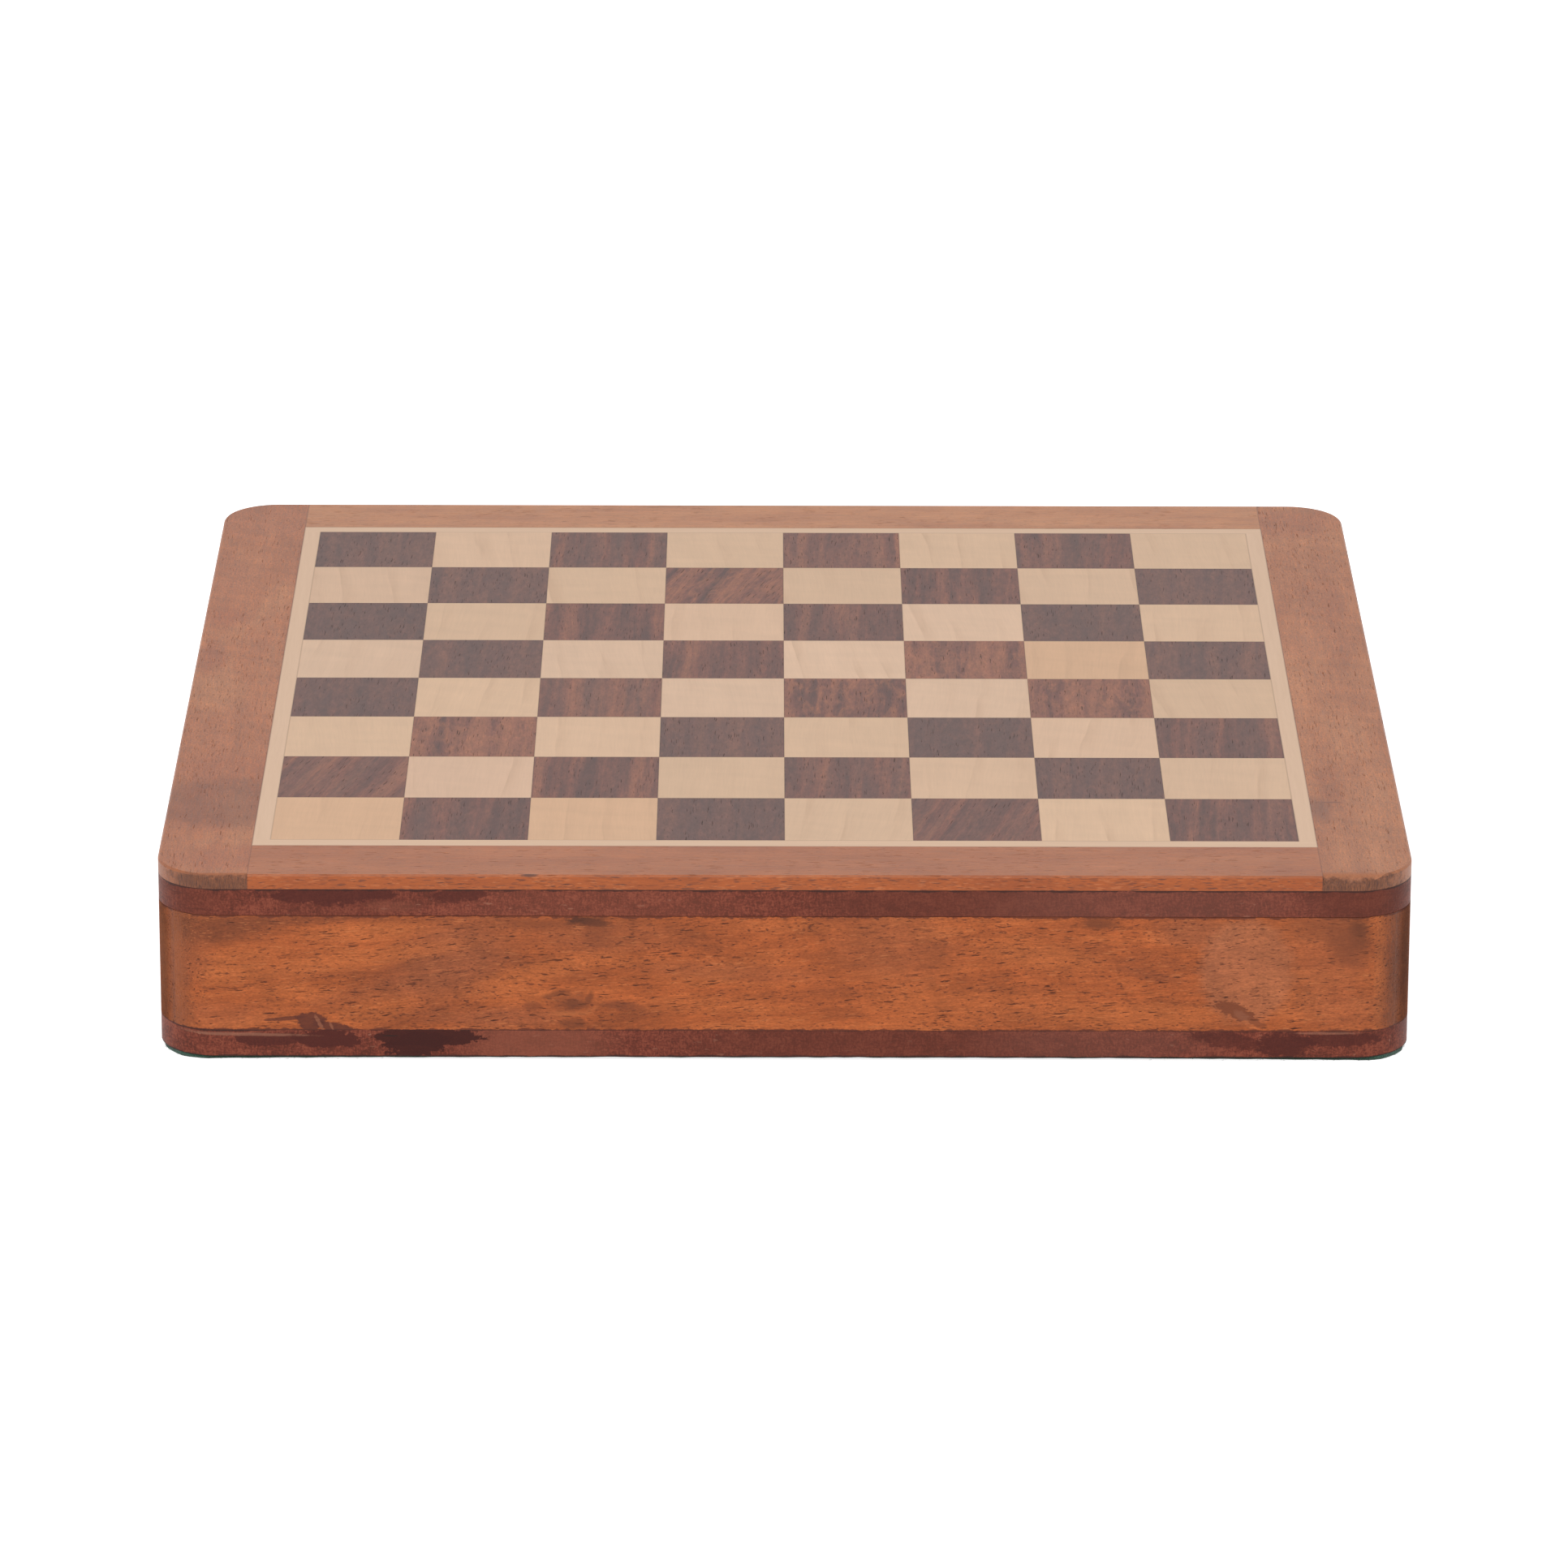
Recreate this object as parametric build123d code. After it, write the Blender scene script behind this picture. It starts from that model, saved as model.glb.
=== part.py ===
from build123d import *
import os

# Chess box: a shallow wooden box whose hinged lid is a chess board.
# Origin at the centre of the underside, +X to the right seen from the front, +Y towards the hinges, +Z up.

# Playing surface, flush inlay on the lid
square = 26.17  # side of one playing square
squares_per_side = 8
strip_width = 3.62  # pale strip round the squares
side_rail_width = 18.7  # left and right rails, the full depth of the lid
end_rail_width = 17.7  # front and back rails, butted between the side rails
inlay_thickness = 3.1
corner_radius = 12.0  # vertical corners of box and lid
arris = 0.4  # bevel on the outer top edge of the rails
left_end_roll = 1.2  # sanded-over front end of the left rail
right_end_roll = 2.6  # sanded-over front end of the right rail

# Carcass
lid_board_thickness = 5.6
lid_gap = 0.1  # hairline between the closed lid and the walls
wall_height = 24.5
wall_thickness = 10.0
bottom_board_thickness = 5.7
base_felt_thickness = 1.0
base_felt_inset = 0.5  # felt stops short of the bottom board's edge
lining_thickness = 1.0  # felt under the lid
lining_clearance = 1.0  # between that felt and the walls

# Tray for the chessmen: a padded floor, two side bars, five cross bars and ribs between those
tray_clearance = 0.5  # between tray and walls
tray_floor_thickness = 2.0
side_bar_width = 4.0
bar_width = 7.0
bar_height = 16.0
rib_width = 6.0
rib_height = 13.0
arch_rise = 1.0  # arched tops of bars and ribs
pawn_pocket_length = 38.0  # the officers' pockets share what is left

# Butt hinges
hinge_spacing = 140.0
hinge_width = 32.0
leaf_depth = 8.0  # from the back face into the wood
leaf_thickness = 1.0
knuckle_count = 5
knuckle_radius = 2.2
knuckle_gap = 0.15  # end play between knuckles
barrel_standoff = 0.3  # between barrel and back face
pin_radius = 1.0
pin_running_clearance = 0.05
pin_proud = 0.4  # pin beyond each end of the barrel
mortise_clearance = 0.1

# Hinge screws
screw_length = 5.2
screw_shank_radius = 0.8
screw_head_radius = 1.9
screw_head_height = 1.0
screw_spacing = 18.0  # between the two screws of one leaf
screw_edge = 3.9  # from the leaf's front edge

# Hidden magnets that hold the lid shut
magnet_radius = 3.0
magnet_thickness = 2.0
magnet_spacing = 176.0

# Plan
field = squares_per_side * square
inlay = field + 2 * strip_width
width = inlay + 2 * side_rail_width
depth = inlay + 2 * end_rail_width
inner_width = width - 2 * wall_thickness
inner_depth = depth - 2 * wall_thickness
front, back = -depth / 2, depth / 2

# Levels
bottom_board_z = base_felt_thickness
wall_z = bottom_board_z + bottom_board_thickness
wall_top = wall_z + wall_height
lid_z = wall_top + lid_gap
inlay_z = lid_z + lid_board_thickness
top_z = inlay_z + inlay_thickness
tray_z = wall_z + tray_floor_thickness

# Hinge axis, behind the back face at the height of the seam
hinge_y = back + barrel_standoff + knuckle_radius
hinge_z = (wall_top + lid_z) / 2
hinge_places = {"left": -hinge_spacing / 2, "right": hinge_spacing / 2}
screw_y = back - leaf_depth + screw_edge


def block(x0, x1, y0, y1, z0, z1):
    """Box between two corners."""
    solid = Box(x1 - x0, y1 - y0, z1 - z0, align=(Align.MIN, Align.MIN, Align.MIN))
    return Pos(x0, y0, z0) * solid


def plate(x_size, y_size, z0, z1):
    """Rectangular sheet centred on the origin in plan."""
    return block(-x_size / 2, x_size / 2, -y_size / 2, y_size / 2, z0, z1)


def rounded_plate(inset, z0, z1):
    """Full-size sheet with the box's rounded corners, drawn in by an inset."""
    outline = RectangleRounded(width - 2 * inset, depth - 2 * inset, corner_radius - inset)
    return Pos(0, 0, z0) * extrude(outline, amount=z1 - z0)


def prism(points, z0, z1):
    """Upright prism over a closed outline."""
    return Pos(0, 0, z0) * extrude(make_face(Polyline(*points, close=True)), amount=z1 - z0)


def rod_along_x(radius, x0, x1, y, z):
    """Round rod parallel to the hinge axis."""
    rod = Cylinder(radius, x1 - x0, align=(Align.CENTER, Align.CENTER, Align.MIN))
    return Pos(x0, y, z) * Rot(0, 90, 0) * rod


def group(solids):
    """Separate solids kept in one node."""
    return Compound(children=list(solids))


# ---- Lid ---------------------------------------------------------------------------------------------


def square_block(file, rank):
    """One playing square; file and rank count from the front left corner."""
    x0 = -field / 2 + file * square
    y0 = -field / 2 + rank * square
    return block(x0, x0 + square, y0, y0 + square, inlay_z, top_z)


def rank_squares(rank, colour):
    """The squares of one colour in one rank; the front left square is light."""
    first = rank % 2 if colour == "light" else 1 - rank % 2
    return group(square_block(file, rank) for file in range(first, squares_per_side, 2))


def border_strip(side):
    """Front and back strips run the whole width; the other two fit between them."""
    outer = inlay / 2
    inner = field / 2
    if side == "front":
        return block(-outer, outer, -outer, -inner, inlay_z, top_z)
    if side == "back":
        return block(-outer, outer, inner, outer, inlay_z, top_z)
    if side == "left":
        return block(-outer, -inner, -inner, inner, inlay_z, top_z)
    return block(inner, outer, -inner, inner, inlay_z, top_z)


def end_rail(side):
    """Front or back rail with its outer top edge eased."""
    y0, y1 = {"front": (front, front + end_rail_width), "back": (back - end_rail_width, back)}[side]
    rail = block(-inlay / 2, inlay / 2, y0, y1, inlay_z, top_z)
    top = rail.faces().sort_by(Axis.Z)[-1]
    outer_edge = top.edges().sort_by(lambda edge: abs(edge.center().Y))[-1]
    return chamfer(outer_edge, length=min(arris, 0.4 * inlay_thickness))


def side_rail(side, end_roll):
    """Left or right rail: rounded corners, eased outer edge, front end sanded over."""
    inner, outer = inlay / 2, width / 2
    x0, x1 = (-outer, -inner) if side == "left" else (inner, outer)
    rail = rounded_plate(0, inlay_z, top_z) & block(x0, x1, front, back, inlay_z, top_z)
    top = rail.faces().sort_by(Axis.Z)[-1]
    outer_edges = [edge for edge in top.edges() if abs(edge.center().X) > inner + arris]
    rail = chamfer(outer_edges, length=min(arris, 0.4 * inlay_thickness))
    roll = min(end_roll, 0.9 * inlay_thickness)
    waste = block(x0, x1, front - roll, front + roll, top_z - roll, top_z + roll)
    waste -= rod_along_x(roll, x0, x1, front + roll, top_z - roll)
    return rail - waste


def lid_base_board():
    """Board under the inlay, cut for hinge leaves, screws and magnets."""
    board = rounded_plate(0, lid_z, inlay_z)
    for x in hinge_places.values():
        board -= leaf_mortise(x, lid_z, lid_z + leaf_thickness)
    for screw in hinge_screws("lid"):
        board -= screw
    for magnet in magnets(lid_z):
        board -= magnet
    return board


def lid_lining():
    """Felt under the lid, inside the walls."""
    spare = 2 * lining_clearance
    return plate(inner_width - spare, inner_depth - spare, lid_z - lining_thickness, lid_z)


# ---- Box ---------------------------------------------------------------------------------------------


def wall(side):
    """One wall, mitred at both ends, with half of each rounded corner."""
    ends = {
        "front": ((-1, -1), (1, -1)),
        "right": ((1, -1), (1, 1)),
        "back": ((1, 1), (-1, 1)),
        "left": ((-1, 1), (-1, -1)),
    }[side]
    outer = [(sx * width / 2, sy * depth / 2) for sx, sy in ends]
    inner = [(sx * inner_width / 2, sy * inner_depth / 2) for sx, sy in reversed(ends)]
    return prism(outer + inner, wall_z, wall_top) & rounded_plate(0, wall_z, wall_top)


def front_wall():
    """Front wall with the lower magnets let in."""
    body = wall("front")
    for magnet in magnets(wall_top - magnet_thickness):
        body -= magnet
    return body


def back_wall():
    """Back wall cut for hinge leaves and screws."""
    body = wall("back")
    for x in hinge_places.values():
        body -= leaf_mortise(x, wall_top - leaf_thickness, wall_top)
    for screw in hinge_screws("box"):
        body -= screw
    return body


def magnets(z0):
    """Two discs over the middle of the front wall."""
    disc = Cylinder(magnet_radius, magnet_thickness, align=(Align.CENTER, Align.CENTER, Align.MIN))
    y = front + wall_thickness / 2
    return [Pos(x, y, z0) * disc for x in (-magnet_spacing / 2, magnet_spacing / 2)]


# ---- Tray --------------------------------------------------------------------------------------------

tray_width = inner_width - 2 * tray_clearance
tray_depth = inner_depth - 2 * tray_clearance
rows = ("officers", "pawns", "pawns", "officers")  # from the front
pawn_room = rows.count("pawns") * pawn_pocket_length
officer_room = tray_depth - (len(rows) + 1) * bar_width - pawn_room
pocket_lengths = {"officers": officer_room / rows.count("officers"), "pawns": pawn_pocket_length}
bar_length = tray_width - 2 * side_bar_width
pocket_width = (bar_length - (squares_per_side - 1) * rib_width) / squares_per_side


def arched_bar(length, across, height):
    """Bar along +X from the origin with an arched top, centred in Y and standing on z = 0."""
    half = across / 2
    shoulder = height - arch_rise
    sides = Polyline((-half, shoulder), (-half, 0), (half, 0), (half, shoulder))
    arch = ThreePointArc((half, shoulder), (0, height), (-half, shoulder))
    return extrude(Plane.YZ * make_face(sides + arch), amount=length)


def side_bar(side):
    """Bar against the left or right wall, the full depth of the tray."""
    bar = Rot(0, 0, 90) * arched_bar(tray_depth, side_bar_width, bar_height)
    x = (tray_width - side_bar_width) / 2
    return Pos(-x if side == "left" else x, -tray_depth / 2, tray_z) * bar


def pocket_starts():
    """Front edge of each row of pockets."""
    starts = []
    y = -tray_depth / 2
    for row in rows:
        y += bar_width
        starts.append(y)
        y += pocket_lengths[row]
    return starts


def cross_bars():
    """Five bars between the side bars: before, between and behind the rows."""
    bar = arched_bar(bar_length, bar_width, bar_height)
    places = [start - bar_width for start in pocket_starts()] + [tray_depth / 2 - bar_width]
    return [Pos(-bar_length / 2, y + bar_width / 2, tray_z) * bar for y in places]


def rib_row(row, start):
    """Ribs that part the pockets of one row."""
    rib = Rot(0, 0, 90) * arched_bar(pocket_lengths[row], rib_width, rib_height)
    pitch = pocket_width + rib_width
    first = -pitch * (squares_per_side / 2 - 1)
    return group(Pos(first + i * pitch, start, tray_z) * rib for i in range(squares_per_side - 1))


# ---- Hinges ------------------------------------------------------------------------------------------


def leaf_mortise(x, z0, z1):
    """Recess for one leaf, open at the back."""
    half = hinge_width / 2 + mortise_clearance
    return block(x - half, x + half, back - leaf_depth - mortise_clearance, back, z0, z1)


def knuckle_span(x, index):
    """Ends of one knuckle, with half the gap taken off each side that meets another."""
    pitch = hinge_width / knuckle_count
    x0 = x - hinge_width / 2 + index * pitch
    start = x0 + (knuckle_gap / 2 if index > 0 else 0)
    end = x0 + pitch - (knuckle_gap / 2 if index < knuckle_count - 1 else 0)
    return start, end


def hinge_leaf(x, body):
    """Leaf with its rolled knuckles; the box has the outer ones and the lid those between."""
    first, bore, z0 = {
        "box": (0, pin_radius, wall_top - leaf_thickness),
        "lid": (1, pin_radius + pin_running_clearance, lid_z),
    }[body]
    z1 = z0 + leaf_thickness
    half = hinge_width / 2
    leaf = block(x - half, x + half, back - leaf_depth, back, z0, z1)
    for index in range(first, knuckle_count, 2):
        start, end = knuckle_span(x, index)
        leaf += block(start, end, back - leaf_thickness, hinge_y, z0, z1)
        leaf += rod_along_x(knuckle_radius, start, end, hinge_y, hinge_z)
    leaf -= rod_along_x(bore, x - half, x + half, hinge_y, hinge_z)
    for screw in hinge_screws(body):
        leaf -= screw
    return leaf


def hinge_pin(x):
    """Pin through all the knuckles, tight in the box's and free in the lid's."""
    half = hinge_width / 2 + pin_proud
    return rod_along_x(pin_radius, x - half, x + half, hinge_y, hinge_z)


def countersunk_screw():
    """Screw hanging from the origin, its flat head at z = 0."""
    outline = Polyline(
        (0, 0),
        (screw_head_radius, 0),
        (screw_shank_radius, -screw_head_height),
        (screw_shank_radius, -screw_length),
        (0, -screw_length),
        close=True,
    )
    return revolve(Plane.XZ * make_face(outline), axis=Axis.Z)


def hinge_screws(body):
    """Four screws: down through the box leaves, or up through the lid leaves."""
    turn, z = {"box": (0, wall_top), "lid": (180, lid_z)}[body]
    screw = Rot(turn, 0, 0) * countersunk_screw()
    offsets = (-screw_spacing / 2, screw_spacing / 2)
    return [Pos(x + dx, screw_y, z) * screw for x in hinge_places.values() for dx in offsets]


# ---- Nodes -------------------------------------------------------------------------------------------

nodes = {
    "base_felt": rounded_plate(base_felt_inset, 0, bottom_board_z),
    "bottom_board": rounded_plate(0, bottom_board_z, wall_z),
    "wall_front": front_wall(),
    "wall_back": back_wall(),
    "wall_left": wall("left"),
    "wall_right": wall("right"),
    "tray_floor": plate(tray_width, tray_depth, wall_z, tray_z),
    "box_hinge_screws": group(hinge_screws("box")),
    "box_magnets": group(magnets(wall_top - magnet_thickness)),
    "lid_base_board": lid_base_board(),
    "lid_lining": lid_lining(),
    "lid_rail_left": side_rail("left", left_end_roll),
    "lid_rail_right": side_rail("right", right_end_roll),
    "lid_rail_front": end_rail("front"),
    "lid_rail_back": end_rail("back"),
    "lid_hinge_screws": group(hinge_screws("lid")),
    "lid_magnets": group(magnets(lid_z)),
}
for side in ("front", "back", "left", "right"):
    nodes[f"border_strip_{side}"] = border_strip(side)
for rank in range(squares_per_side):
    for colour in ("light", "dark"):
        nodes[f"rank_{rank + 1}_{colour}"] = rank_squares(rank, colour)
for side in ("left", "right"):
    nodes[f"tray_side_bar_{side}"] = side_bar(side)
for number, bar in enumerate(cross_bars(), start=1):
    nodes[f"tray_bar_{number}"] = bar
for number, (row, start) in enumerate(zip(rows, pocket_starts()), start=1):
    nodes[f"tray_ribs_row_{number}"] = rib_row(row, start)
for side, x in hinge_places.items():
    nodes[f"box_hinge_leaf_{side}"] = hinge_leaf(x, "box")
    nodes[f"lid_hinge_leaf_{side}"] = hinge_leaf(x, "lid")
    nodes[f"hinge_pin_{side}"] = hinge_pin(x)

os.makedirs("parts", exist_ok=True)
for name, shape in nodes.items():
    shape.label = name
    export_step(shape, f"parts/{name}.step")
print(f"{len(nodes)} nodes, {width:.1f} x {depth:.1f} x {top_z:.1f} mm closed")
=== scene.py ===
import bpy, bmesh, inspect, math, random, re
from mathutils import Matrix, Vector, noise


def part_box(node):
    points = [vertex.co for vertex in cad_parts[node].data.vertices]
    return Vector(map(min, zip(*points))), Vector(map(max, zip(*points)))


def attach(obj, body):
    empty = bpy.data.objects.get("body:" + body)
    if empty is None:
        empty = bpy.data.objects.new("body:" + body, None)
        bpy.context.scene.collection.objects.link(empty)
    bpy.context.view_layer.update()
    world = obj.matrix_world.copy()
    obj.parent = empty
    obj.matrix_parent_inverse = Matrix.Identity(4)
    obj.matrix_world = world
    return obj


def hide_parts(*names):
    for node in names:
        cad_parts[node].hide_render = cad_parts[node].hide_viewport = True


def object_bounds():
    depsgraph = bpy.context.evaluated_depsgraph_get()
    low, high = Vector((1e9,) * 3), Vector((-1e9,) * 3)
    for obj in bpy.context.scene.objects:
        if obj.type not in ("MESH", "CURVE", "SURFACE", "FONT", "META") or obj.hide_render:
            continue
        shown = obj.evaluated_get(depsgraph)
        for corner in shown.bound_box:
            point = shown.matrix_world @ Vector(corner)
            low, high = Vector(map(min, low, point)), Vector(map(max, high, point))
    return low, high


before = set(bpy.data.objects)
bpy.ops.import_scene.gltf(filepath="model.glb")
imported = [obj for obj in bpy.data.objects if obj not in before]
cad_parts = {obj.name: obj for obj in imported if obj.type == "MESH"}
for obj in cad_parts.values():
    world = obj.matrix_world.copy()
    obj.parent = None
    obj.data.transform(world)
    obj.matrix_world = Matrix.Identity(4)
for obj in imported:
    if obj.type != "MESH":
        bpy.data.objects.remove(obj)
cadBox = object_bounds()
mm = 0.001
print("frame loaded:", len(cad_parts), "nodes")

# ---- sizes read from the frame, in mm


def nodeSize(node):
    return [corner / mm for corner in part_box(node)]


boardLow, boardHigh = nodeSize("lid_base_board")
rankLow, rankHigh = nodeSize("rank_1_light")
stripHigh = nodeSize("border_strip_front")[1]
wallLow, wallHigh = nodeSize("wall_front")
bottomLow, bottomHigh = nodeSize("bottom_board")
squareSide = rankHigh.y - rankLow.y
inlayHalf = stripHigh.x
topLevel = stripHigh.z
railLevel = boardHigh.z
frontFace = boardLow.y


# ---- small helpers for shader trees


def feed(socket, value):
    if isinstance(value, bpy.types.NodeSocket):
        socket.id_data.links.new(value, socket)
    else:
        socket.default_value = value


def addNode(kind, inputs, tree=None, **settings):
    # inputs that are sockets also say which tree the node belongs in
    tree = tree or next(value.id_data for value in inputs.values() if isinstance(value, bpy.types.NodeSocket))
    made = tree.nodes.new("ShaderNode" + kind)
    for key, value in settings.items():
        setattr(made, key, value)
    for key, value in inputs.items():
        feed(made.inputs[key], value)
    return made.outputs


def calc(operation, *values, clamp=False):
    return addNode("Math", dict(enumerate(values)), operation=operation, use_clamp=clamp)[0]


def plus(first, second):
    return calc("ADD", first, second)


def minus(first, second):
    return calc("SUBTRACT", first, second)


def times(first, second):
    return calc("MULTIPLY", first, second)


def timesPlus(first, second, third, clamp=False):
    return calc("MULTIPLY_ADD", first, second, third, clamp=clamp)


def vectorCalc(operation, *values):
    made = addNode("VectorMath", dict(enumerate(values)), operation=operation)
    return made["Value" if operation in ("LENGTH", "DOT_PRODUCT") else "Vector"]


def moved(vector, offset):
    return vectorCalc("ADD", vector, offset)


def divided(vector, cell):
    return vectorCalc("DIVIDE", vector, cell)


def centred(vector):
    return vectorCalc("SUBTRACT", vector, (0.5, 0.5, 0.5))


def stretched(vector, by):
    return vectorCalc("MULTIPLY", vector, by)


def vectorScale(vector, amount):
    return addNode("VectorMath", {"Vector": vector, "Scale": amount}, operation="SCALE")["Vector"]


def inMm(place):
    return vectorScale(place, 1 / mm)


def combined(x, y, z):
    return addNode("CombineXYZ", {"X": x, "Y": y, "Z": z})[0]


def axesOf(vector):
    return addNode("SeparateXYZ", {"Vector": vector})


def channels(colour):
    return addNode("SeparateColor", {"Color": colour})


def turnedAbout(axis, vector, angle):
    inputs = {"Vector": vector, "Axis": axis, "Angle": angle}
    return addNode("VectorRotate", inputs, rotation_type="AXIS_ANGLE")["Vector"]


def noiseAt(place, scale=1.0, detail=2.0, roughness=0.5, distortion=0.0):
    return addNode("TexNoise", {"Vector": place, "Scale": scale, "Detail": detail, "Roughness": roughness,
                                "Distortion": distortion})


def remap(value, low, high, toLow=0.0, toHigh=1.0, how="LINEAR"):
    inputs = {"Value": value, "From Min": low, "From Max": high, "To Min": toLow, "To Max": toHigh}
    return addNode("MapRange", inputs, interpolation_type=how)["Result"]


def swing(value, depth):
    # from below 1 to above it by the same depth, as the value goes from 0 to 1
    return remap(value, 0.0, 1.0, 1 - depth, 1 + depth)


def opaque(colour):
    return (*colour, 1.0) if isinstance(colour, tuple) and len(colour) == 3 else colour


def mixColour(amount, first, second, how="MIX"):
    inputs = {0: amount, 6: opaque(first), 7: opaque(second)}
    return addNode("Mix", inputs, data_type="RGBA", blend_type=how)[2]


def tinge(colour, tint, mask, strength):
    return mixColour(times(mask, strength), colour, tint)


def colourRamp(value, look, places=(0.0, 0.5, 1.0)):
    # from deep through base to bright
    ramp = addNode("ValToRGB", {"Fac": value})["Color"]
    points = ramp.node.color_ramp.elements
    points.new(0.5)
    for point, place, colour in zip(points, places, (look["deep"], look["base"], look["bright"])):
        point.position = place
        point.color = opaque(colour)
    return ramp


# ---- shared effects, each a node group; lengths in mm

origin = (0, 0, 0)


def labelOf(name):
    return re.sub("([A-Z])", r" \1", name).title()


def shared(title, **outputs):
    # makes a node group of a function: its arguments are the inputs (tuples for vectors) and what it gives
    # back the outputs; from then on a call of the function puts the group in a tree
    def makeGroup(effect):
        group = bpy.data.node_groups.new(title, "ShaderNodeTree")
        signature = inspect.signature(effect)
        for name, argument in signature.parameters.items():
            kind = "NodeSocketVector" if isinstance(argument.default, tuple) else "NodeSocketFloat"
            socket = group.interface.new_socket(labelOf(name), in_out="INPUT", socket_type=kind)
            socket.default_value = argument.default
        for label, kind in outputs.items():
            group.interface.new_socket(label, in_out="OUTPUT", socket_type="NodeSocket" + kind)
        given = group.nodes.new("NodeGroupInput").outputs
        made = effect(*(given[labelOf(name)] for name in signature.parameters))
        for socket, value in zip(group.nodes.new("NodeGroupOutput").inputs, made):
            feed(socket, value)

        def useGroup(*values, **named):
            passed = signature.bind(*values, **named).arguments
            inputs = {labelOf(name): value for name, value in passed.items()}
            results = addNode("Group", inputs, node_tree=group)
            return results[0] if len(outputs) == 1 else results

        return useGroup

    return makeGroup


@shared("Grain Run", Grain="Vector", Dive="Float")
def grainRun(place=origin, turn=0.0, shift=origin, sway=(0, 2, 2)):
    # turns object space into wood space: millimetres, x along the grain, swaying across it and diving under
    # the surface; Dive is how steeply the grain runs there
    inputs = {"Vector": inMm(place), "Angle": turn}
    shifted = moved(addNode("VectorRotate", inputs, rotation_type="Z_AXIS")["Vector"], shift)
    step = 4.0
    drifts = []
    for ahead in (0.0, step):
        slow = stretched(moved(shifted, (ahead, 0, 0)), (0.030, 0.075, 0.075))
        drifts.append(stretched(vectorScale(centred(noiseAt(slow)["Color"]), 2.0), sway))
    slope = vectorCalc("LENGTH", vectorCalc("SUBTRACT", drifts[1], drifts[0]))
    return moved(shifted, drifts[0]), remap(slope, 0.0, 0.35 * step)


@shared("Long Fibres", Value="Float")
def longFibres(grain=origin, length=40.0, width=0.8, contrast=1.5):
    spread = noiseAt(divided(grain, combined(length, width, width)), roughness=0.6)["Fac"]
    return [timesPlus(minus(spread, 0.5), contrast, 0.5, clamp=True)]


@shared("Sawn End", Tears="Float", Patches="Float")
def sawnEnd(place=origin, height=1.6, width=0.24):
    # upright tears, dark and pale, where a board is cut across
    sized = inMm(place)
    tears = noiseAt(divided(sized, combined(width, width, height)), detail=3.0, roughness=0.7)["Fac"]
    patches = noiseAt(sized, scale=0.45, detail=5.0, roughness=0.7)["Fac"]
    return remap(tears, 0.32, 0.68), remap(patches, 0.38, 0.62)


@shared("Open Pores", Mask="Float")
def openPores(grain=origin, spacingAlong=4.0, spacingAcross=0.5, size=0.25, share=0.7, clumps=0.7, crook=0.3):
    # cut vessels: dashes where the grain lies in the face, dots where it dives or ends
    bent = centred(noiseAt(stretched(grain, (0.7, 1.4, 1.4)), detail=1.0)["Color"])
    bent = moved(grain, vectorScale(stretched(bent, (3.0, 1.0, 1.0)), crook))
    scaled = divided(bent, combined(spacingAlong, spacingAcross, spacingAcross))
    spots = addNode("TexVoronoi", {"Vector": scaled, "Scale": 1.0, "Randomness": 1.0})
    chance = channels(spots["Color"])
    crowd = remap(noiseAt(divided(grain, (24, 6, 6)))["Fac"], 0.36, 0.62, -1.0, 1.0)
    present = calc("LESS_THAN", chance["Red"], times(timesPlus(crowd, clumps, 1.0), share))
    reach = times(size, timesPlus(chance["Green"], 0.9, 0.5))
    body = remap(spots["Distance"], reach, times(reach, 0.45), how="SMOOTHSTEP")
    return [times(times(body, present), timesPlus(chance["Blue"], 0.6, 0.4))]


@shared("Wood Figure", Cloud="Float", Shimmer="Float")
def woodFigure(grain=origin, length=60.0, width=9.0, slant=0.6):
    # broad clouds along the grain, and the shimmer that crosses it
    cloud = noiseAt(divided(grain, combined(length, width, width)), detail=4.0, roughness=0.6)["Fac"]
    shimmer = noiseAt(divided(turnedAbout((0.0, 0.71, 0.71), grain, slant), (4, 16, 16)))["Fac"]
    return remap(cloud, 0.3, 0.7), remap(shimmer, 0.3, 0.7)


@shared("Stain Blotch", Mask="Float")
def stainBlotch(place=origin, centre=origin, halfSize=(5, 5, 5), axis=(0, 1, 0), tilt=0.0, ragged=0.5,
                soft=0.2):
    # an uneven spot about one place, with lobes and a fine torn edge
    sized = inMm(place)
    away = divided(turnedAbout(axis, vectorCalc("SUBTRACT", sized, centre), tilt), halfSize)
    tear = noiseAt(stretched(sized, (0.24, 0.24, 0.62)), detail=7.0, roughness=0.72)["Color"]
    reach = vectorCalc("LENGTH", moved(away, vectorScale(vectorScale(centred(tear), ragged), 4.0)))
    nibble = minus(noiseAt(sized, scale=0.9, detail=4.0, roughness=0.65)["Fac"], 0.5)
    reach = timesPlus(times(nibble, ragged), 2.2, reach)
    return [remap(reach, plus(1.0, soft), minus(1.0, soft), how="SMOOTHSTEP")]


def lineMask(off, width):
    # 1 on a line, 0 from its width on
    return remap(off, width, times(width, 0.5))


@shared("Joint Line", Mask="Float")
def jointLine(place=origin, halfX=100.0, halfY=100.0, lineWidth=0.15):
    # hairline round a rectangle centred on the board
    axes = axesOf(vectorCalc("ABSOLUTE", inMm(place)))
    beyond = calc("MAXIMUM", minus(axes["X"], halfX), minus(axes["Y"], halfY))
    return [lineMask(calc("ABSOLUTE", beyond), lineWidth)]


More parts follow.
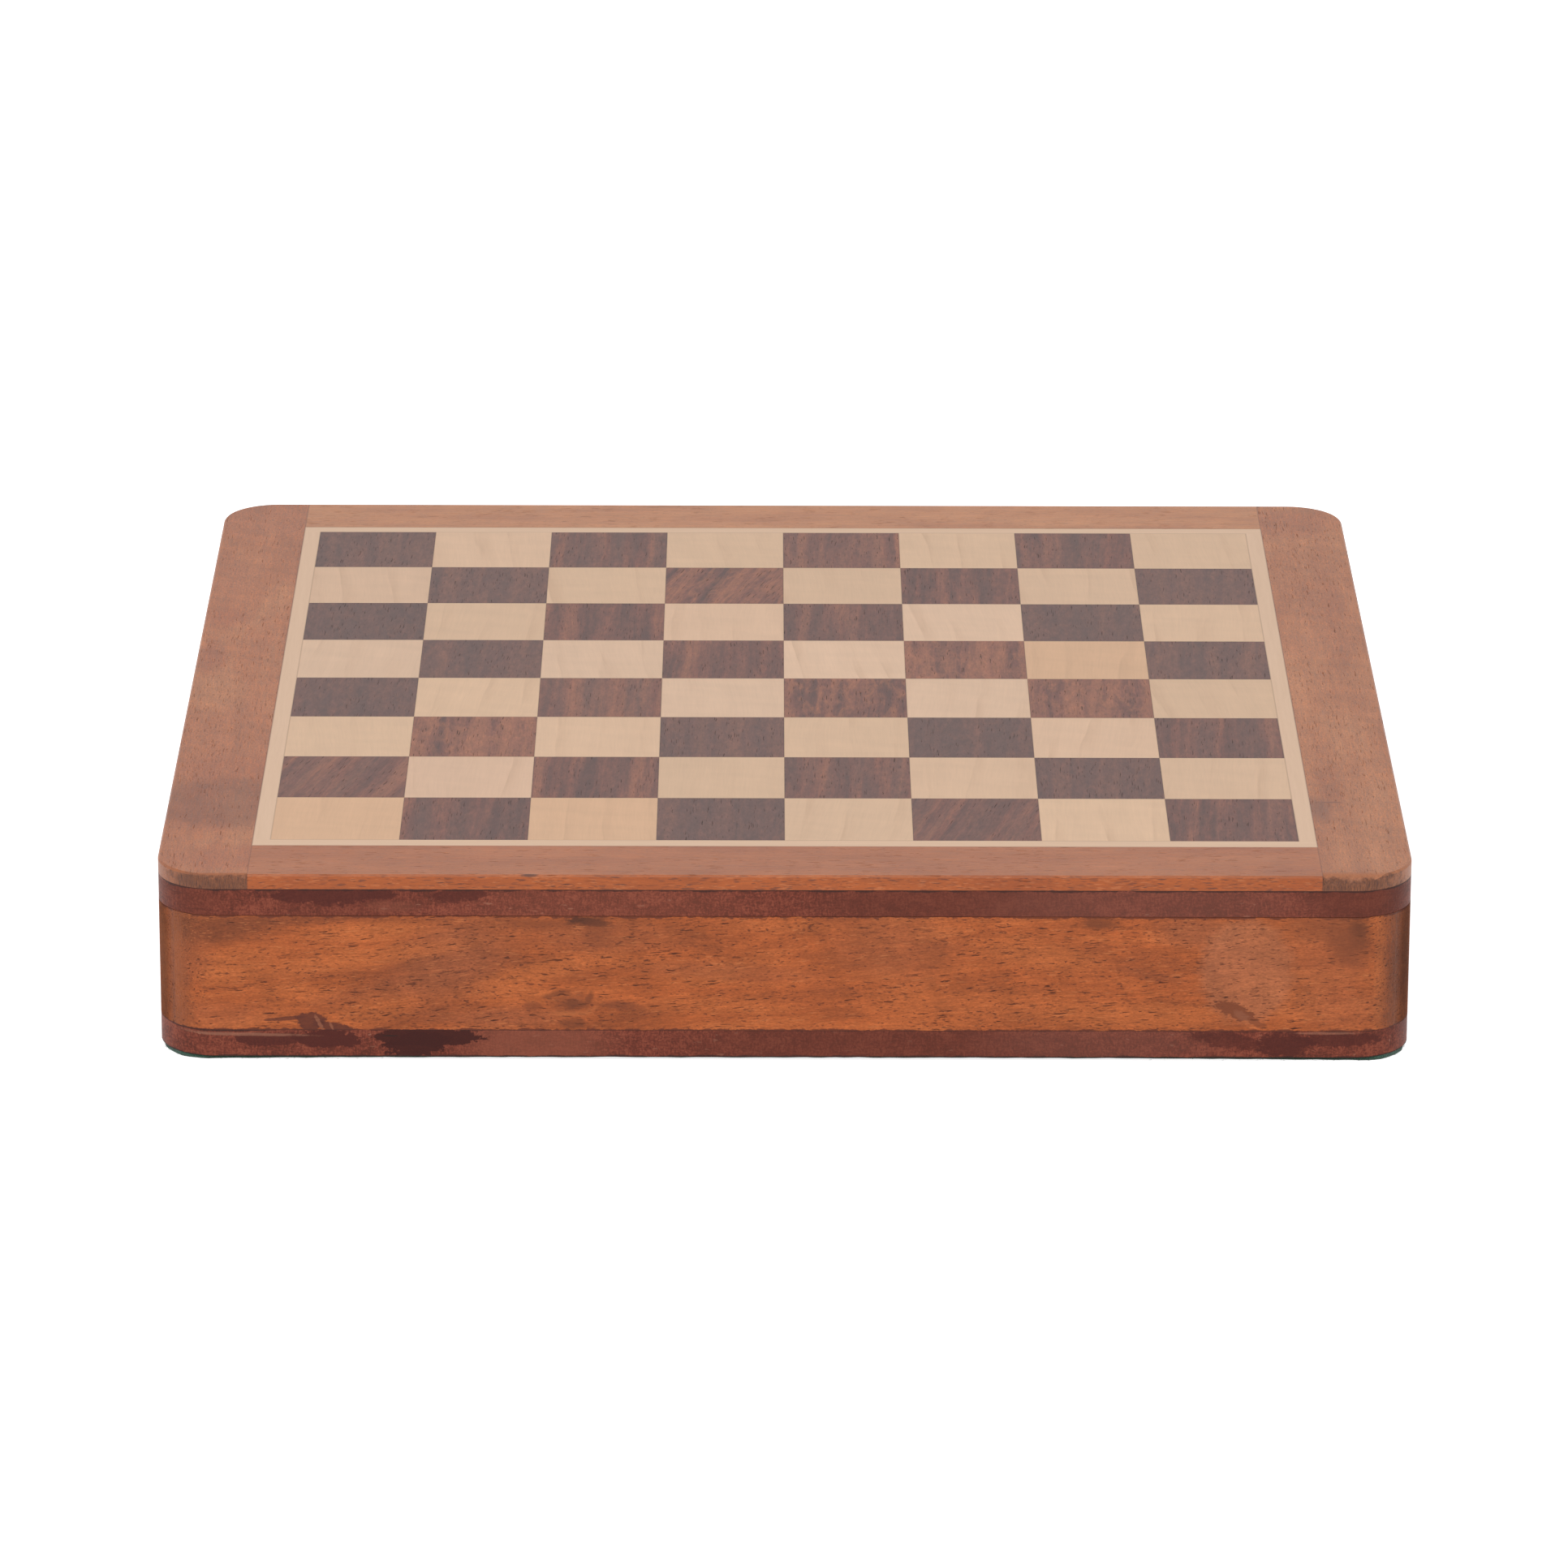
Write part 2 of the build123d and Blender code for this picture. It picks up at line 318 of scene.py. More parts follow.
@shared("Upright Corner Shade", Mask="Float")
def uprightCorner(place=origin, reach=13.0):
    # 1 at the outermost of the four rounded corners, falling off along both sides; it places the painted
    # shade on the upright corners
    axes = axesOf(inMm(place))
    beyondX = remap(calc("ABSOLUTE", axes["X"]), boardHigh.x - 3.7, boardHigh.x - 1.2, how="SMOOTHSTEP")
    start, middle = minus(boardHigh.y, reach), minus(boardHigh.y, times(reach, 0.6))
    return [times(beyondX, remap(calc("ABSOLUTE", axes["Y"]), start, middle, how="SMOOTHSTEP"))]


@shared("Playing Square", Random="Color", Line="Float", Cell="Vector")
def playingSquare(place=origin, side=squareSide, lineWidth=0.15):
    # which square a point is in, as random numbers, and the hairline round it
    counted = stretched(vectorScale(place, calc("DIVIDE", 1 / mm, side)), (1, 1, 0))
    cell = vectorCalc("FLOOR", counted)
    chance = addNode("TexWhiteNoise", {"Vector": cell}, noise_dimensions="3D")["Color"]
    within = vectorCalc("SUBTRACT", vectorCalc("SUBTRACT", counted, cell), (0.5, 0.5, 0.0))
    axes = axesOf(vectorCalc("ABSOLUTE", within))
    off = times(minus(0.5, calc("MAXIMUM", axes["X"], axes["Y"])), side)
    return chance, lineMask(off, lineWidth), cell


@shared("Level Edge", Mask="Float")
def levelEdge(place=origin, level=0.0, reach=0.5, patchy=0.6, patchSize=9.0):
    # an uneven band along one height: glue lines, run-over stain
    sized = inMm(place)
    off = calc("ABSOLUTE", minus(axesOf(sized)["Z"], level))
    patch = noiseAt(vectorScale(sized, calc("DIVIDE", 1.0, patchSize)), detail=4.0, roughness=0.65)["Fac"]
    patch = remap(patch, 0.35, 0.65, -1.0, 1.0)
    reach = calc("MAXIMUM", times(reach, timesPlus(patch, patchy, 1.0)), 0.001)
    return [remap(off, reach, times(reach, 0.4), how="SMOOTHSTEP")]


@shared("Fibre Nap", Fibres="Float", Matted="Float")
def fibreNap(place=origin, fibre=0.25, matting=6.0):
    # short matted fibres of felt and velvet
    sized = inMm(place)
    twisted = moved(sized, vectorScale(noiseAt(vectorScale(sized, 0.9))["Color"], 1.4))
    fine = stretched(vectorScale(twisted, calc("DIVIDE", 1.0, fibre)), (0.3, 1.0, 1.0))
    fine = noiseAt(fine, detail=3.0, roughness=0.7)["Fac"]
    matted = noiseAt(vectorScale(sized, calc("DIVIDE", 1.0, matting)), detail=3.0)["Fac"]
    return remap(fine, 0.3, 0.7), remap(matted, 0.3, 0.7)


@shared("Brushed Metal", Strokes="Float", Tarnish="Float")
def brushedMetal(place=origin, stroke=(8.0, 0.08, 0.08)):
    sized = inMm(place)
    strokes = noiseAt(divided(sized, stroke), detail=3.0)["Fac"]
    tarnish = noiseAt(sized, scale=0.12, detail=3.0)["Fac"]
    return remap(strokes, 0.2, 0.8), remap(tarnish, 0.45, 0.85)


print("shared effects:", len(bpy.data.node_groups), "node groups")


def blotch(place, onTop, x, rise, halfX, halfRise, tilt, ragged, soft, depth=9.0):
    # rise is z on the front face, y on the top; tilt in degrees
    centre, half, axis = (x, frontFace, rise), (halfX, depth, halfRise), (0, 1, 0)
    if onTop:
        centre, half, axis = (x, rise, topLevel), (halfX, halfRise, depth), (0, 0, -1)
    return stainBlotch(place, centre, half, axis, math.radians(tilt), ragged, soft)


def addMark(colour, place, onTop, x, rise, halfX, halfRise, tilt, tone, strength, *edge):
    mask = blotch(place, onTop, x, rise, halfX, halfRise, tilt, *edge)
    return tinge(colour, markTones[tone], mask, strength)


def addMarks(colour, place, onTop, marks):
    for mark in marks:
        colour = addMark(colour, place, onTop, *mark)
    return colour


# ---- materials


def newMaterial(name, **plain):
    # also gives the place and the normal, both in object space
    material = bpy.data.materials.new(name)
    material.use_nodes = True
    shader = material.node_tree.nodes["Principled BSDF"]
    for label, value in plain.items():
        shader.inputs[label.replace("_", " ")].default_value = value
    coordinates = addNode("TexCoord", {}, material.node_tree)
    return material, coordinates["Object"], coordinates["Normal"]


def finishMaterial(material, colour, height, depth, rough=None):
    shader = material.node_tree.nodes["Principled BSDF"].inputs
    feed(shader["Base Color"], colour)
    if rough is not None:
        feed(shader["Roughness"], rough)
    feed(shader["Normal"], addNode("Bump", {"Height": height, "Distance": depth * mm})["Normal"])
    return material


def squareTo(axis, normal):
    # 1 on faces that look along the axis, 0 on faces that run along it
    return calc("ABSOLUTE", vectorCalc("DOT_PRODUCT", normal, axis))


alongX, alongY = 0.0, -math.pi / 2

frameWood = {
    "deep": (0.284, 0.070, 0.021),
    "base": (0.403, 0.098, 0.026),
    "bright": (0.492, 0.131, 0.036),
    "dive": (0.80, 0.82, 0.90),  # tint where the grain dives
    "pore": (0.060, 0.015, 0.007),
    "tick": (0.095, 0.023, 0.010),
    "fleck": (0.640, 0.215, 0.075),
    "faceTint": None,  # of faces that look to the front or back
    "faceStreak": 0.7,
    "endDark": (0.075, 0.018, 0.006),  # cut ends, and the painted shade of the upright corners
    "endPale": (0.255, 0.078, 0.026),
    "roll": None,  # colour of the worn edge over a cut end
    "rollDeep": (0.300, 0.092, 0.034),
    "paintedCornerShade": 0.0,  # how strongly painted shade darkens the upright corners with the cut-end colour
    "cloud": (30.0, 6.5),  # length and width of the clouds
    # fine, middle, broad and speckle: length, width, contrast
    "fibreSizes": ((3.2, 0.2, 2.2), (11.0, 0.6, 2.2), (60.0, 2.6, 2.2), (0.7, 0.3, 2.4)),
    "fibreDepths": (0.12, 0.13, 0.06),
    "speckleDepth": 0.20,
    "shimmerDepth": 0.09,
    "poreShare": 0.85,
    "poreClumps": 1.7,
    "poreSpacing": (5.0, 0.44),
    "poreSize": 0.30,
    "poreStrength": 1.0,
    "tickShare": 1.0,
    "tickSpacing": (1.5, 0.46),
    "tickStrength": 0.85,
    "fleckStrength": 0.45,
    "lean": 0.05,  # rise of the grain along a wall
    "sway": (0.0, 3.4, 2.0),  # under the surface and across it
    "roughness": 0.46,
    "shine": 0.25,
}


def reddishWood(name, turn, shift, patches=(), marks=(), crowds=(), onTop=False, jointLines=False,
                stainLevels=(), **changes):
    look = {**frameWood, **changes}
    material, place, normal = newMaterial(name, Roughness=look["roughness"], IOR=1.5,
                                          Specular_IOR_Level=look["shine"])
    leaned = turnedAbout((math.sin(turn), math.cos(turn), 0.0), place, look["lean"])
    run = grainRun(leaned, turn, shift, look["sway"])
    grain = run["Grain"]
    figure = woodFigure(grain, *look["cloud"])
    colour = colourRamp(figure["Cloud"], look, (0.1, 0.5, 0.9))
    dark = mixColour(1.0, colour, look["dive"], "MULTIPLY")
    colour = tinge(colour, dark, run["Dive"], 0.8)
    colour = addMarks(colour, place, onTop, patches)
    shade = swing(figure["Shimmer"], look["shimmerDepth"])
    fibres = [longFibres(grain, *size) for size in look["fibreSizes"]]
    for strand, depth in zip(fibres, (*look["fibreDepths"], look["speckleDepth"])):
        shade = times(shade, swing(strand, depth))
    colour = vectorScale(colour, shade)
    poreShare, tickShare = look["poreShare"], look["tickShare"]
    for *spot, morePores, moreTicks in crowds:
        mask = blotch(place, onTop, *spot, 0.12, 0.6)
        poreShare = timesPlus(mask, morePores, poreShare)
        tickShare = timesPlus(mask, moreTicks, tickShare)
    cell = (*look["poreSpacing"], look["poreSize"])
    pores = openPores(grain, *cell, share=poreShare, clumps=look["poreClumps"], crook=0.45)
    flecks = openPores(moved(grain, (57, 31, 83)), *cell, share=0.8, clumps=0.8, crook=0.45)
    colour = tinge(colour, look["fleck"], flecks, look["fleckStrength"])
    ticks = openPores(moved(grain, (13, 71, 29)), *look["tickSpacing"], size=0.36, share=tickShare,
                      clumps=0.9, crook=0.8)
    colour = tinge(colour, look["tick"], ticks, look["tickStrength"])
    colour = tinge(colour, look["pore"], pores, look["poreStrength"])
    if look["faceTint"]:
        tinted = mixColour(1.0, colour, look["faceTint"], "MULTIPLY")
        for offset, tint, share in (((11, 5, 3), look["fleck"], 0.5), ((0, 47, 19), look["tick"], 1.0)):
            chips = openPores(moved(grain, offset), 2.6, 0.36, size=0.42, share=1.0, clumps=0.9, crook=0.3)
            tinted = tinge(tinted, tint, chips, look["faceStreak"] * share)
        colour = mixColour(remap(squareTo((0.0, 1.0, 0.0), normal), 0.3, 0.9), colour, tinted)
    endOn = squareTo((math.cos(turn), -math.sin(turn), 0.0), normal)
    sawn = sawnEnd(place)
    cutColour = mixColour(sawn["Tears"], look["endDark"], look["endPale"])
    cutColour = tinge(cutColour, look["endDark"], sawn["Patches"], 0.35)
    if look["roll"]:
        torn = plus(times(sawn["Patches"], remap(endOn, 0.0, 0.3, 0.0, 0.35)), endOn)
        rollColour = tinge(look["roll"], look["rollDeep"], sawn["Tears"], 0.75)
        colour = tinge(colour, rollColour, remap(torn, 0.10, 0.34), 0.7)
        cutEnd = remap(torn, 0.66, 0.98)
    else:
        cutEnd = remap(endOn, 0.35, 0.9)
    rough = timesPlus(fibres[0], 0.12, look["roughness"] - 0.06)
    # painted shade: the upright corners take the dark cut-end colour
    if look["paintedCornerShade"]:
        corner = uprightCorner(place)
        cutEnd = calc("MAXIMUM", cutEnd, times(corner, look["paintedCornerShade"]))
        rough = timesPlus(corner, 0.5, rough)
    colour = mixColour(cutEnd, colour, cutColour)
    upright = remap(squareTo((0.0, 0.0, 1.0), normal), 0.6, 0.2)
    for level, reach in stainLevels:
        stain = times(levelEdge(place, level, reach, patchy=1.3, patchSize=3.0), upright)
        colour = tinge(colour, stainedEdge["deep"], stain, 0.85)
    colour = addMarks(colour, place, onTop, marks)
    if jointLines:
        for halfY in (inlayHalf, 2 * inlayHalf):
            colour = tinge(colour, look["pore"], jointLine(place, inlayHalf, halfY, 0.18), 0.35)
    height = minus(times(fibres[0], 0.25), pores)
    height = timesPlus(times(cutEnd, sawn["Tears"]), 1.5, height)
    return finishMaterial(material, colour, height, 0.06, timesPlus(pores, 0.3, rough))


rosewood = {
    "deep": (0.084, 0.031, 0.025),
    "base": (0.168, 0.056, 0.038),
    "bright": (0.285, 0.102, 0.056),
    "grey": (0.112, 0.052, 0.042),
    "glow": (0.360, 0.130, 0.062),  # flecks of a figured square
    "pore": (0.030, 0.012, 0.009),
    # length, width, contrast, depth
    "strands": ((110.0, 5.2, 2.6, 0.72), (60.0, 1.9, 2.4, 0.42), (9.0, 0.45, 2.2, 0.22)),
    "bandDepth": 1.3,
    "speckle": 0.16,
    "mottle": 0.20,
    "toneSpread": 0.38,  # between one square and the next
    "plum": (0.096, 0.049, 0.043),
    "lean": (0.03, 0.26),  # radians off front to back: most squares, and those that lean
    "leaning": [(-4, -3), (-1, 2), (1, -4)],
    "figured": [(-3, -2), (0, -1), (2, -1), (1, 0), (-1, 2)],  # squares counted from the board's middle
    "sombre": [(2, -3), (-4, 1), (3, 0), (1, -2), (-1, -4), (2, 1), (-4, 3), (-3, 2), (3, 2), (-3, 0),
               (-4, -1), (-1, -2)],
    "sway": (0.0, 1.4, 1.6),
    "roughness": 0.5,
}


def oneOf(cell, squares):
    # 1 within the listed squares
    mask = 0.0
    for column, row in squares:
        off = vectorCalc("LENGTH", vectorCalc("SUBTRACT", cell, (column, row, 0)))
        mask = plus(mask, calc("LESS_THAN", off, 0.5))
    return mask


def startSquares(name, look):
    material, place, _ = newMaterial(name, Roughness=look["roughness"], IOR=1.48)
    square = playingSquare(place, squareSide, 0.16)
    return material, place, square, channels(square["Random"])


def darkSquares(name):
    look = rosewood
    material, place, square, chance = startSquares(name, look)
    kinds = ("figured", "sombre", "leaning")
    figured, sombre, leaning = (oneOf(square["Cell"], look[kind]) for kind in kinds)
    usual, more = look["lean"]
    turn = remap(leaning, 0.0, 1.0, alongY + usual, alongY + more)
    grain = grainRun(place, turn, vectorScale(square["Random"], 900.0), look["sway"])["Grain"]
    tone = timesPlus(minus(chance["Green"], 0.5), look["toneSpread"], 0.5)
    for *size, depth in look["strands"]:
        strand = minus(longFibres(grain, *size), 0.5)
        tone = timesPlus(strand, depth * look["bandDepth"], tone)
    tone = timesPlus(sombre, -0.12, timesPlus(figured, 0.10, tone))
    colour = tinge(colourRamp(tone, look), look["plum"], sombre, 0.6)
    greyed = longFibres(moved(grain, (0, 37, 11)), 90.0, 3.6, 2.8)
    greyed = times(greyed, remap(chance["Blue"], 0.0, 1.0, 0.1, 0.8))
    greyed = times(greyed, minus(1.0, times(figured, 0.8)))
    colour = mixColour(greyed, colour, look["grey"])
    swirl = noiseAt(divided(grain, (9.0, 2.4, 2.4)), detail=4.0, roughness=0.6, distortion=0.8)["Fac"]
    colour = tinge(colour, look["glow"], remap(swirl, 0.46, 0.70), timesPlus(figured, 0.5, 0.12))
    mottle = noiseAt(divided(grain, (3.6, 1.3, 1.3)), detail=5.0, roughness=0.65)["Fac"]
    colour = vectorScale(colour, remap(mottle, 0.32, 0.68, 1 - look["mottle"], 1 + look["mottle"]))
    colour = vectorScale(colour, swing(longFibres(grain, 1.6, 0.4, 2.4), look["speckle"]))
    pores = openPores(grain, 6.5, 0.40, size=0.26, share=0.9, clumps=1.0)
    colour = tinge(colour, look["pore"], pores, 0.85)
    colour = tinge(colour, look["pore"], square["Line"], 0.4)
    height = timesPlus(pores, -1.0, times(strand, 0.3))
    return finishMaterial(material, colour, height, 0.05, timesPlus(pores, 0.25, look["roughness"]))


maple = {
    "pink": (0.712, 0.464, 0.314),
    "yellow": (0.715, 0.474, 0.304),
    "honey": (0.690, 0.412, 0.240),
    "cream": (0.742, 0.500, 0.342),
    "honeyed": [(-4, -4), (-2, -4), (2, 0)],  # squares counted from the board's middle
    "creamy": [(1, 1), (-2, 0), (-4, 0), (1, -1), (-1, -1), (0, 0)],
    "line": (0.450, 0.260, 0.150),
    "curl": 0.025,
    "cloud": 0.03,
    "fibre": 0.030,
    "toneSpread": 0.045,  # between one square and the next
    "lean": 0.12,
    "ringDepth": 0.36,
    "ringStep": 9.0,  # between growth lines
    "sway": (0.0, 1.6, 1.0),
    "roughness": 0.5,
}


def lightSquares(name):
    look = maple
    material, place, square, chance = startSquares(name, look)
    turn = remap(chance["Green"], 0.0, 1.0, alongY - look["lean"], alongY + look["lean"])
    grain = grainRun(place, turn, vectorScale(square["Random"], 700.0), look["sway"])["Grain"]
    colour = mixColour(calc("POWER", chance["Red"], 3.0), look["yellow"], look["pink"])
    for squares, tint in (("honeyed", "honey"), ("creamy", "cream")):
        colour = tinge(colour, look[tint], oneOf(square["Cell"], look[squares]), 0.85)
    curl = woodFigure(grain, length=40.0, width=5.0, slant=0.3)
    fine = longFibres(grain, 9.0, 0.4, 2.0)
    shade = times(swing(curl["Shimmer"], look["curl"]), swing(curl["Cloud"], look["cloud"]))
    shade = times(shade, swing(fine, look["fibre"]))
    colour = vectorScale(colour, times(shade, swing(chance["Blue"], look["toneSpread"])))
    spread = longFibres(grain, 120.0, 14.0, 1.4)
    ringPlace = calc("FRACT", timesPlus(axesOf(grain)["Y"], 1 / look["ringStep"], spread))
    ringLine = remap(ringPlace, 0.55, 0.97, 0.0, look["ringDepth"])
    ringLine = times(ringLine, remap(ringPlace, 1.0, 0.97))
    ringLine = times(ringLine, remap(curl["Cloud"], 0.35, 0.9))
    colour = mixColour(ringLine, colour, look["line"])
    colour = tinge(colour, look["line"], square["Line"], 0.4)
    return finishMaterial(material, colour, fine, 0.02)


def paleStrip(name, turn):
    look = {"base": (0.770, 0.523, 0.357), "dark": (0.695, 0.460, 0.305), "line": (0.330, 0.180, 0.110)}
    material, place, _ = newMaterial(name, Roughness=0.5, IOR=1.48)
    grain = grainRun(place, turn, (31, 17, 5), (0.0, 1.0, 3.0))["Grain"]
    broad, fine = longFibres(grain, 40.0, 1.0, 1.8), longFibres(grain, 6.0, 0.3, 2.0)
    colour = mixColour(timesPlus(broad, 0.7, times(fine, 0.3)), look["dark"], look["base"])
    for half in (inlayHalf, 4 * squareSide):
        colour = tinge(colour, look["line"], jointLine(place, half, half, 0.2), 0.5)
    return finishMaterial(material, colour, broad, 0.02)


stainedEdge = {
    "deep": (0.100, 0.022, 0.012),
    "base": (0.173, 0.037, 0.021),
    "bright": (0.262, 0.066, 0.036),
    "scuff": (0.340, 0.140, 0.090),
    "blotch": (0.070, 0.012, 0.008),
    "blot": (0.040, 0.005, 0.003),  # the darkest
    "glue": (0.030, 0.010, 0.008),
    # saw marks, board fibres, fine mottle, coarse mottle, hand-wiped patches
    "layers": (((0.32, 0.32, 2.2), 0.46), ((3.6, 3.6, 0.3), 0.30), ((0.45, 0.45, 0.4), 0.64),
               ((3.5, 3.5, 2.2), 0.30), ((16.0, 16.0, 4.0), 0.34)),
    "contrast": 3.4,
    "roughness": 0.55,
    "shine": 0.22,
}


def stainedBoard(name, marks, glueLevels):
    look = stainedEdge
    material, place, _ = newMaterial(name, Roughness=look["roughness"], IOR=1.5,
                                     Specular_IOR_Level=look["shine"])
    sized = inMm(place)
    swayed = moved(sized, vectorScale(noiseAt(sized, scale=0.4)["Color"], 1.5))
    tone = 0.0
    for cell, weight in look["layers"]:
        layer = minus(noiseAt(divided(swayed, cell))["Fac"], 0.5)
        tone = timesPlus(layer, weight * look["contrast"], tone)
    tone = plus(tone, 0.5)
    scuffs = openPores(sized, 3.4, 1.0, size=0.18, share=0.35, clumps=1.6, crook=0.8)
    colour = tinge(colourRamp(tone, look), look["scuff"], scuffs, 0.75)
    colour = addMarks(colour, place, False, marks)
    for level, reach in glueLevels:
        glue = levelEdge(place, level, reach, patchy=0.9, patchSize=6.0)
        colour = tinge(colour, look["glue"], glue, 0.85)
    return finishMaterial(material, colour, tone, 0.03)


feltLook = {
    "deep": (0.016, 0.055, 0.036),
    "bright": (0.052, 0.142, 0.094),
    "sheenTint": (1.0, 1.0, 1.0, 1.0),
    "sheen": 0.35,
    "sheenRoughness": 0.5,
    "roughness": 0.95,
    "fibre": 0.22,
    "matting": 7.0,
    "shares": {"Fibres": 0.7, "Matted": 0.3},
    "depth": 0.15,
}
velvetLook = {
    "deep": (0.006, 0.050, 0.030),
    "bright": (0.020, 0.120, 0.070),
    "sheenTint": (0.45, 0.80, 0.65, 1.0),
    "sheen": 0.5,
    "sheenRoughness": 0.35,
    "roughness": 0.8,
    "fibre": 0.16,
    "matting": 11.0,
    "shares": {"Matted": 0.65, "Fibres": 0.35},
    "depth": 0.08,
}


def greenCloth(name, look):
    material, place, _ = newMaterial(name, Roughness=look["roughness"], Sheen_Weight=look["sheen"],
                                     Sheen_Roughness=look["sheenRoughness"], Sheen_Tint=look["sheenTint"],
                                     Specular_IOR_Level=0.2)
    nap = fibreNap(place, look["fibre"], look["matting"])
    (first, more), (second, less) = look["shares"].items()
    tone = timesPlus(nap[first], more, times(nap[second], less))
    colour = mixColour(tone, look["deep"], look["bright"])
    return finishMaterial(material, colour, nap["Fibres"], look["depth"])


def workedMetal(name, bright, tarnished, roughness, stroke):
    material, place, _ = newMaterial(name, Metallic=1.0, Roughness=roughness)
    wear = brushedMetal(place, (stroke, 0.1, 0.1))
    rough = timesPlus(wear["Tarnish"], 0.15, timesPlus(wear["Strokes"], 0.12, roughness))
    colour = mixColour(wear["Tarnish"], bright, tarnished)
    return finishMaterial(material, colour, wear["Strokes"], 0.003, rough)


# ---- marks on the front of this box: x, z, half sizes, tilt, tone, strength, ragged, soft

markTones = {
    "amber": (0.518, 0.141, 0.039),  # warm figure; also a paler tone easing the painted corner shade on the left
    "rim": (0.590, 0.185, 0.061),  # pale rim of the knot; also a painted highlight streak on the right corner
    "rubbed": (0.385, 0.134, 0.062),  # rubbed patch; also paler painted light easing the shade at the left corner
    "tan": (0.335, 0.092, 0.034),
    "brown": (0.290, 0.081, 0.031),
    "umber": (0.190, 0.050, 0.019),
    "char": (0.140, 0.038, 0.015),
    # also the painted shade at the right corner
    "soot": (0.055, 0.016, 0.008),
    "spill": (0.100, 0.023, 0.013),  # board stain on bare wood
    "wiped": (0.310, 0.112, 0.059),  # the same, wiped off
    "fawn": (0.380, 0.124, 0.050),
    "sand": (0.460, 0.177, 0.072),
    "dusky": (0.180, 0.070, 0.042),
    "thick": (0.108, 0.025, 0.014),  # board stain laid on thickly
    "thin": (0.250, 0.074, 0.041),  # thinly
    "dusty": (0.178, 0.060, 0.041),
    "scuffed": (0.330, 0.140, 0.088),
    "nick": (0.020, 0.006, 0.004),
    "blotch": stainedEdge["blotch"],
    "blot": stainedEdge["blot"],
    "glue": stainedEdge["glue"],
}

wallPatches = [  # under the pores
    (-67, 22, 12, 8, 32, "brown", 0.9, 0.1, 0.6),  # brown stripe climbing to the right
    (-80, 15.6, 15, 2.2, 12, "brown", 0.45, 0.1, 0.6),
    (-118, 28.4, 15, 3.4, 3, "char", 0.7, 0.14, 0.6),
    (-100, 30.2, 16, 1.1, 2, "umber", 0.55, 0.14, 0.6),
    (-122, 22, 6, 5, 0, "brown", 0.45, 0.12, 0.6),
    (-116, 9.6, 12, 2.6, 0, "tan", 0.45, 0.12, 0.6),
    (-88, 21.6, 22, 2, 9, "amber", 0.55, 0.1, 0.6),
    (-84, 27.8, 12, 2, 4, "amber", 0.65, 0.12, 0.6),
    (-84, 10.4, 9, 2.4, 8, "amber", 0.45, 0.12, 0.6),
    (-48, 19.6, 13, 2.2, 14, "amber", 0.6, 0.12, 0.6),
    (-57, 9.3, 13, 2.3, 0, "tan", 0.8, 0.12, 0.6),
    (-37, 27, 15, 3.8, 0, "brown", 0.55, 0.1, 0.6),
    (-12, 19.4, 17, 1.9, -3, "brown", 0.45, 0.1, 0.6),
    (-14, 12, 14, 1.7, 0, "amber", 0.4, 0.12, 0.6),
    (0, 29.2, 11, 1.5, 0, "amber", 0.4, 0.12, 0.6),
    (22, 25, 11, 7, -8, "brown", 0.55, 0.1, 0.6),
    (40, 12, 22, 3.6, 0, "amber", 0.4, 0.12, 0.6),
    (51, 23, 12, 2.8, -8, "amber", 0.6, 0.12, 0.6),
    (73, 19, 6.5, 1, -12, "umber", 0.5, 0.16, 0.6),
    (72, 10, 18, 2.8, 0, "amber", 0.65, 0.1, 0.6),
    (83, 28, 8, 3.2, -4, "brown", 0.85, 0.12, 0.6),
    (93.4, 19.6, 9.5, 11, 0, "rubbed", 0.6, 0.1, 0.16),  # pale rubbed patch
    (110, 22, 8, 10, 0, "tan", 0.55, 0.12, 0.6),
    (114, 11, 10, 4, 0, "tan", 0.45, 0.12, 0.6),
    # painted highlight: a pale upright streak where the right corner begins to turn
    (120.4, 19, 1.1, 14, 0, "rim", 0.25, 0.1, 0.6),
]
wallPoreCrowds = [  # x, z, half sizes, tilt, more pores, more ticks
    (-115, 28, 9, 2.6, 0, 3.4, 0.9),
    (-102, 23, 18, 2.2, 4, 1.8, 0.2),
    (-92, 18, 16, 1, -8, 1.8, 0.2),
    (-97, 12, 20, 3, -6, 0.6, 0.2),
    (-26, 18.5, 26, 2.6, -8, 0.7, 0.3),
    (10, 22, 34, 9, 0, -0.5, 0.3),
    (60, 21, 36, 9, 0, 0.3, 2.4),
    (91, 16, 9, 9, 0, -0.6, 2),
    (110, 19, 10, 8, 0, 2.4, 0.8),
    (46, 9, 60, 2.5, 0, 0.7, 0.2),
]
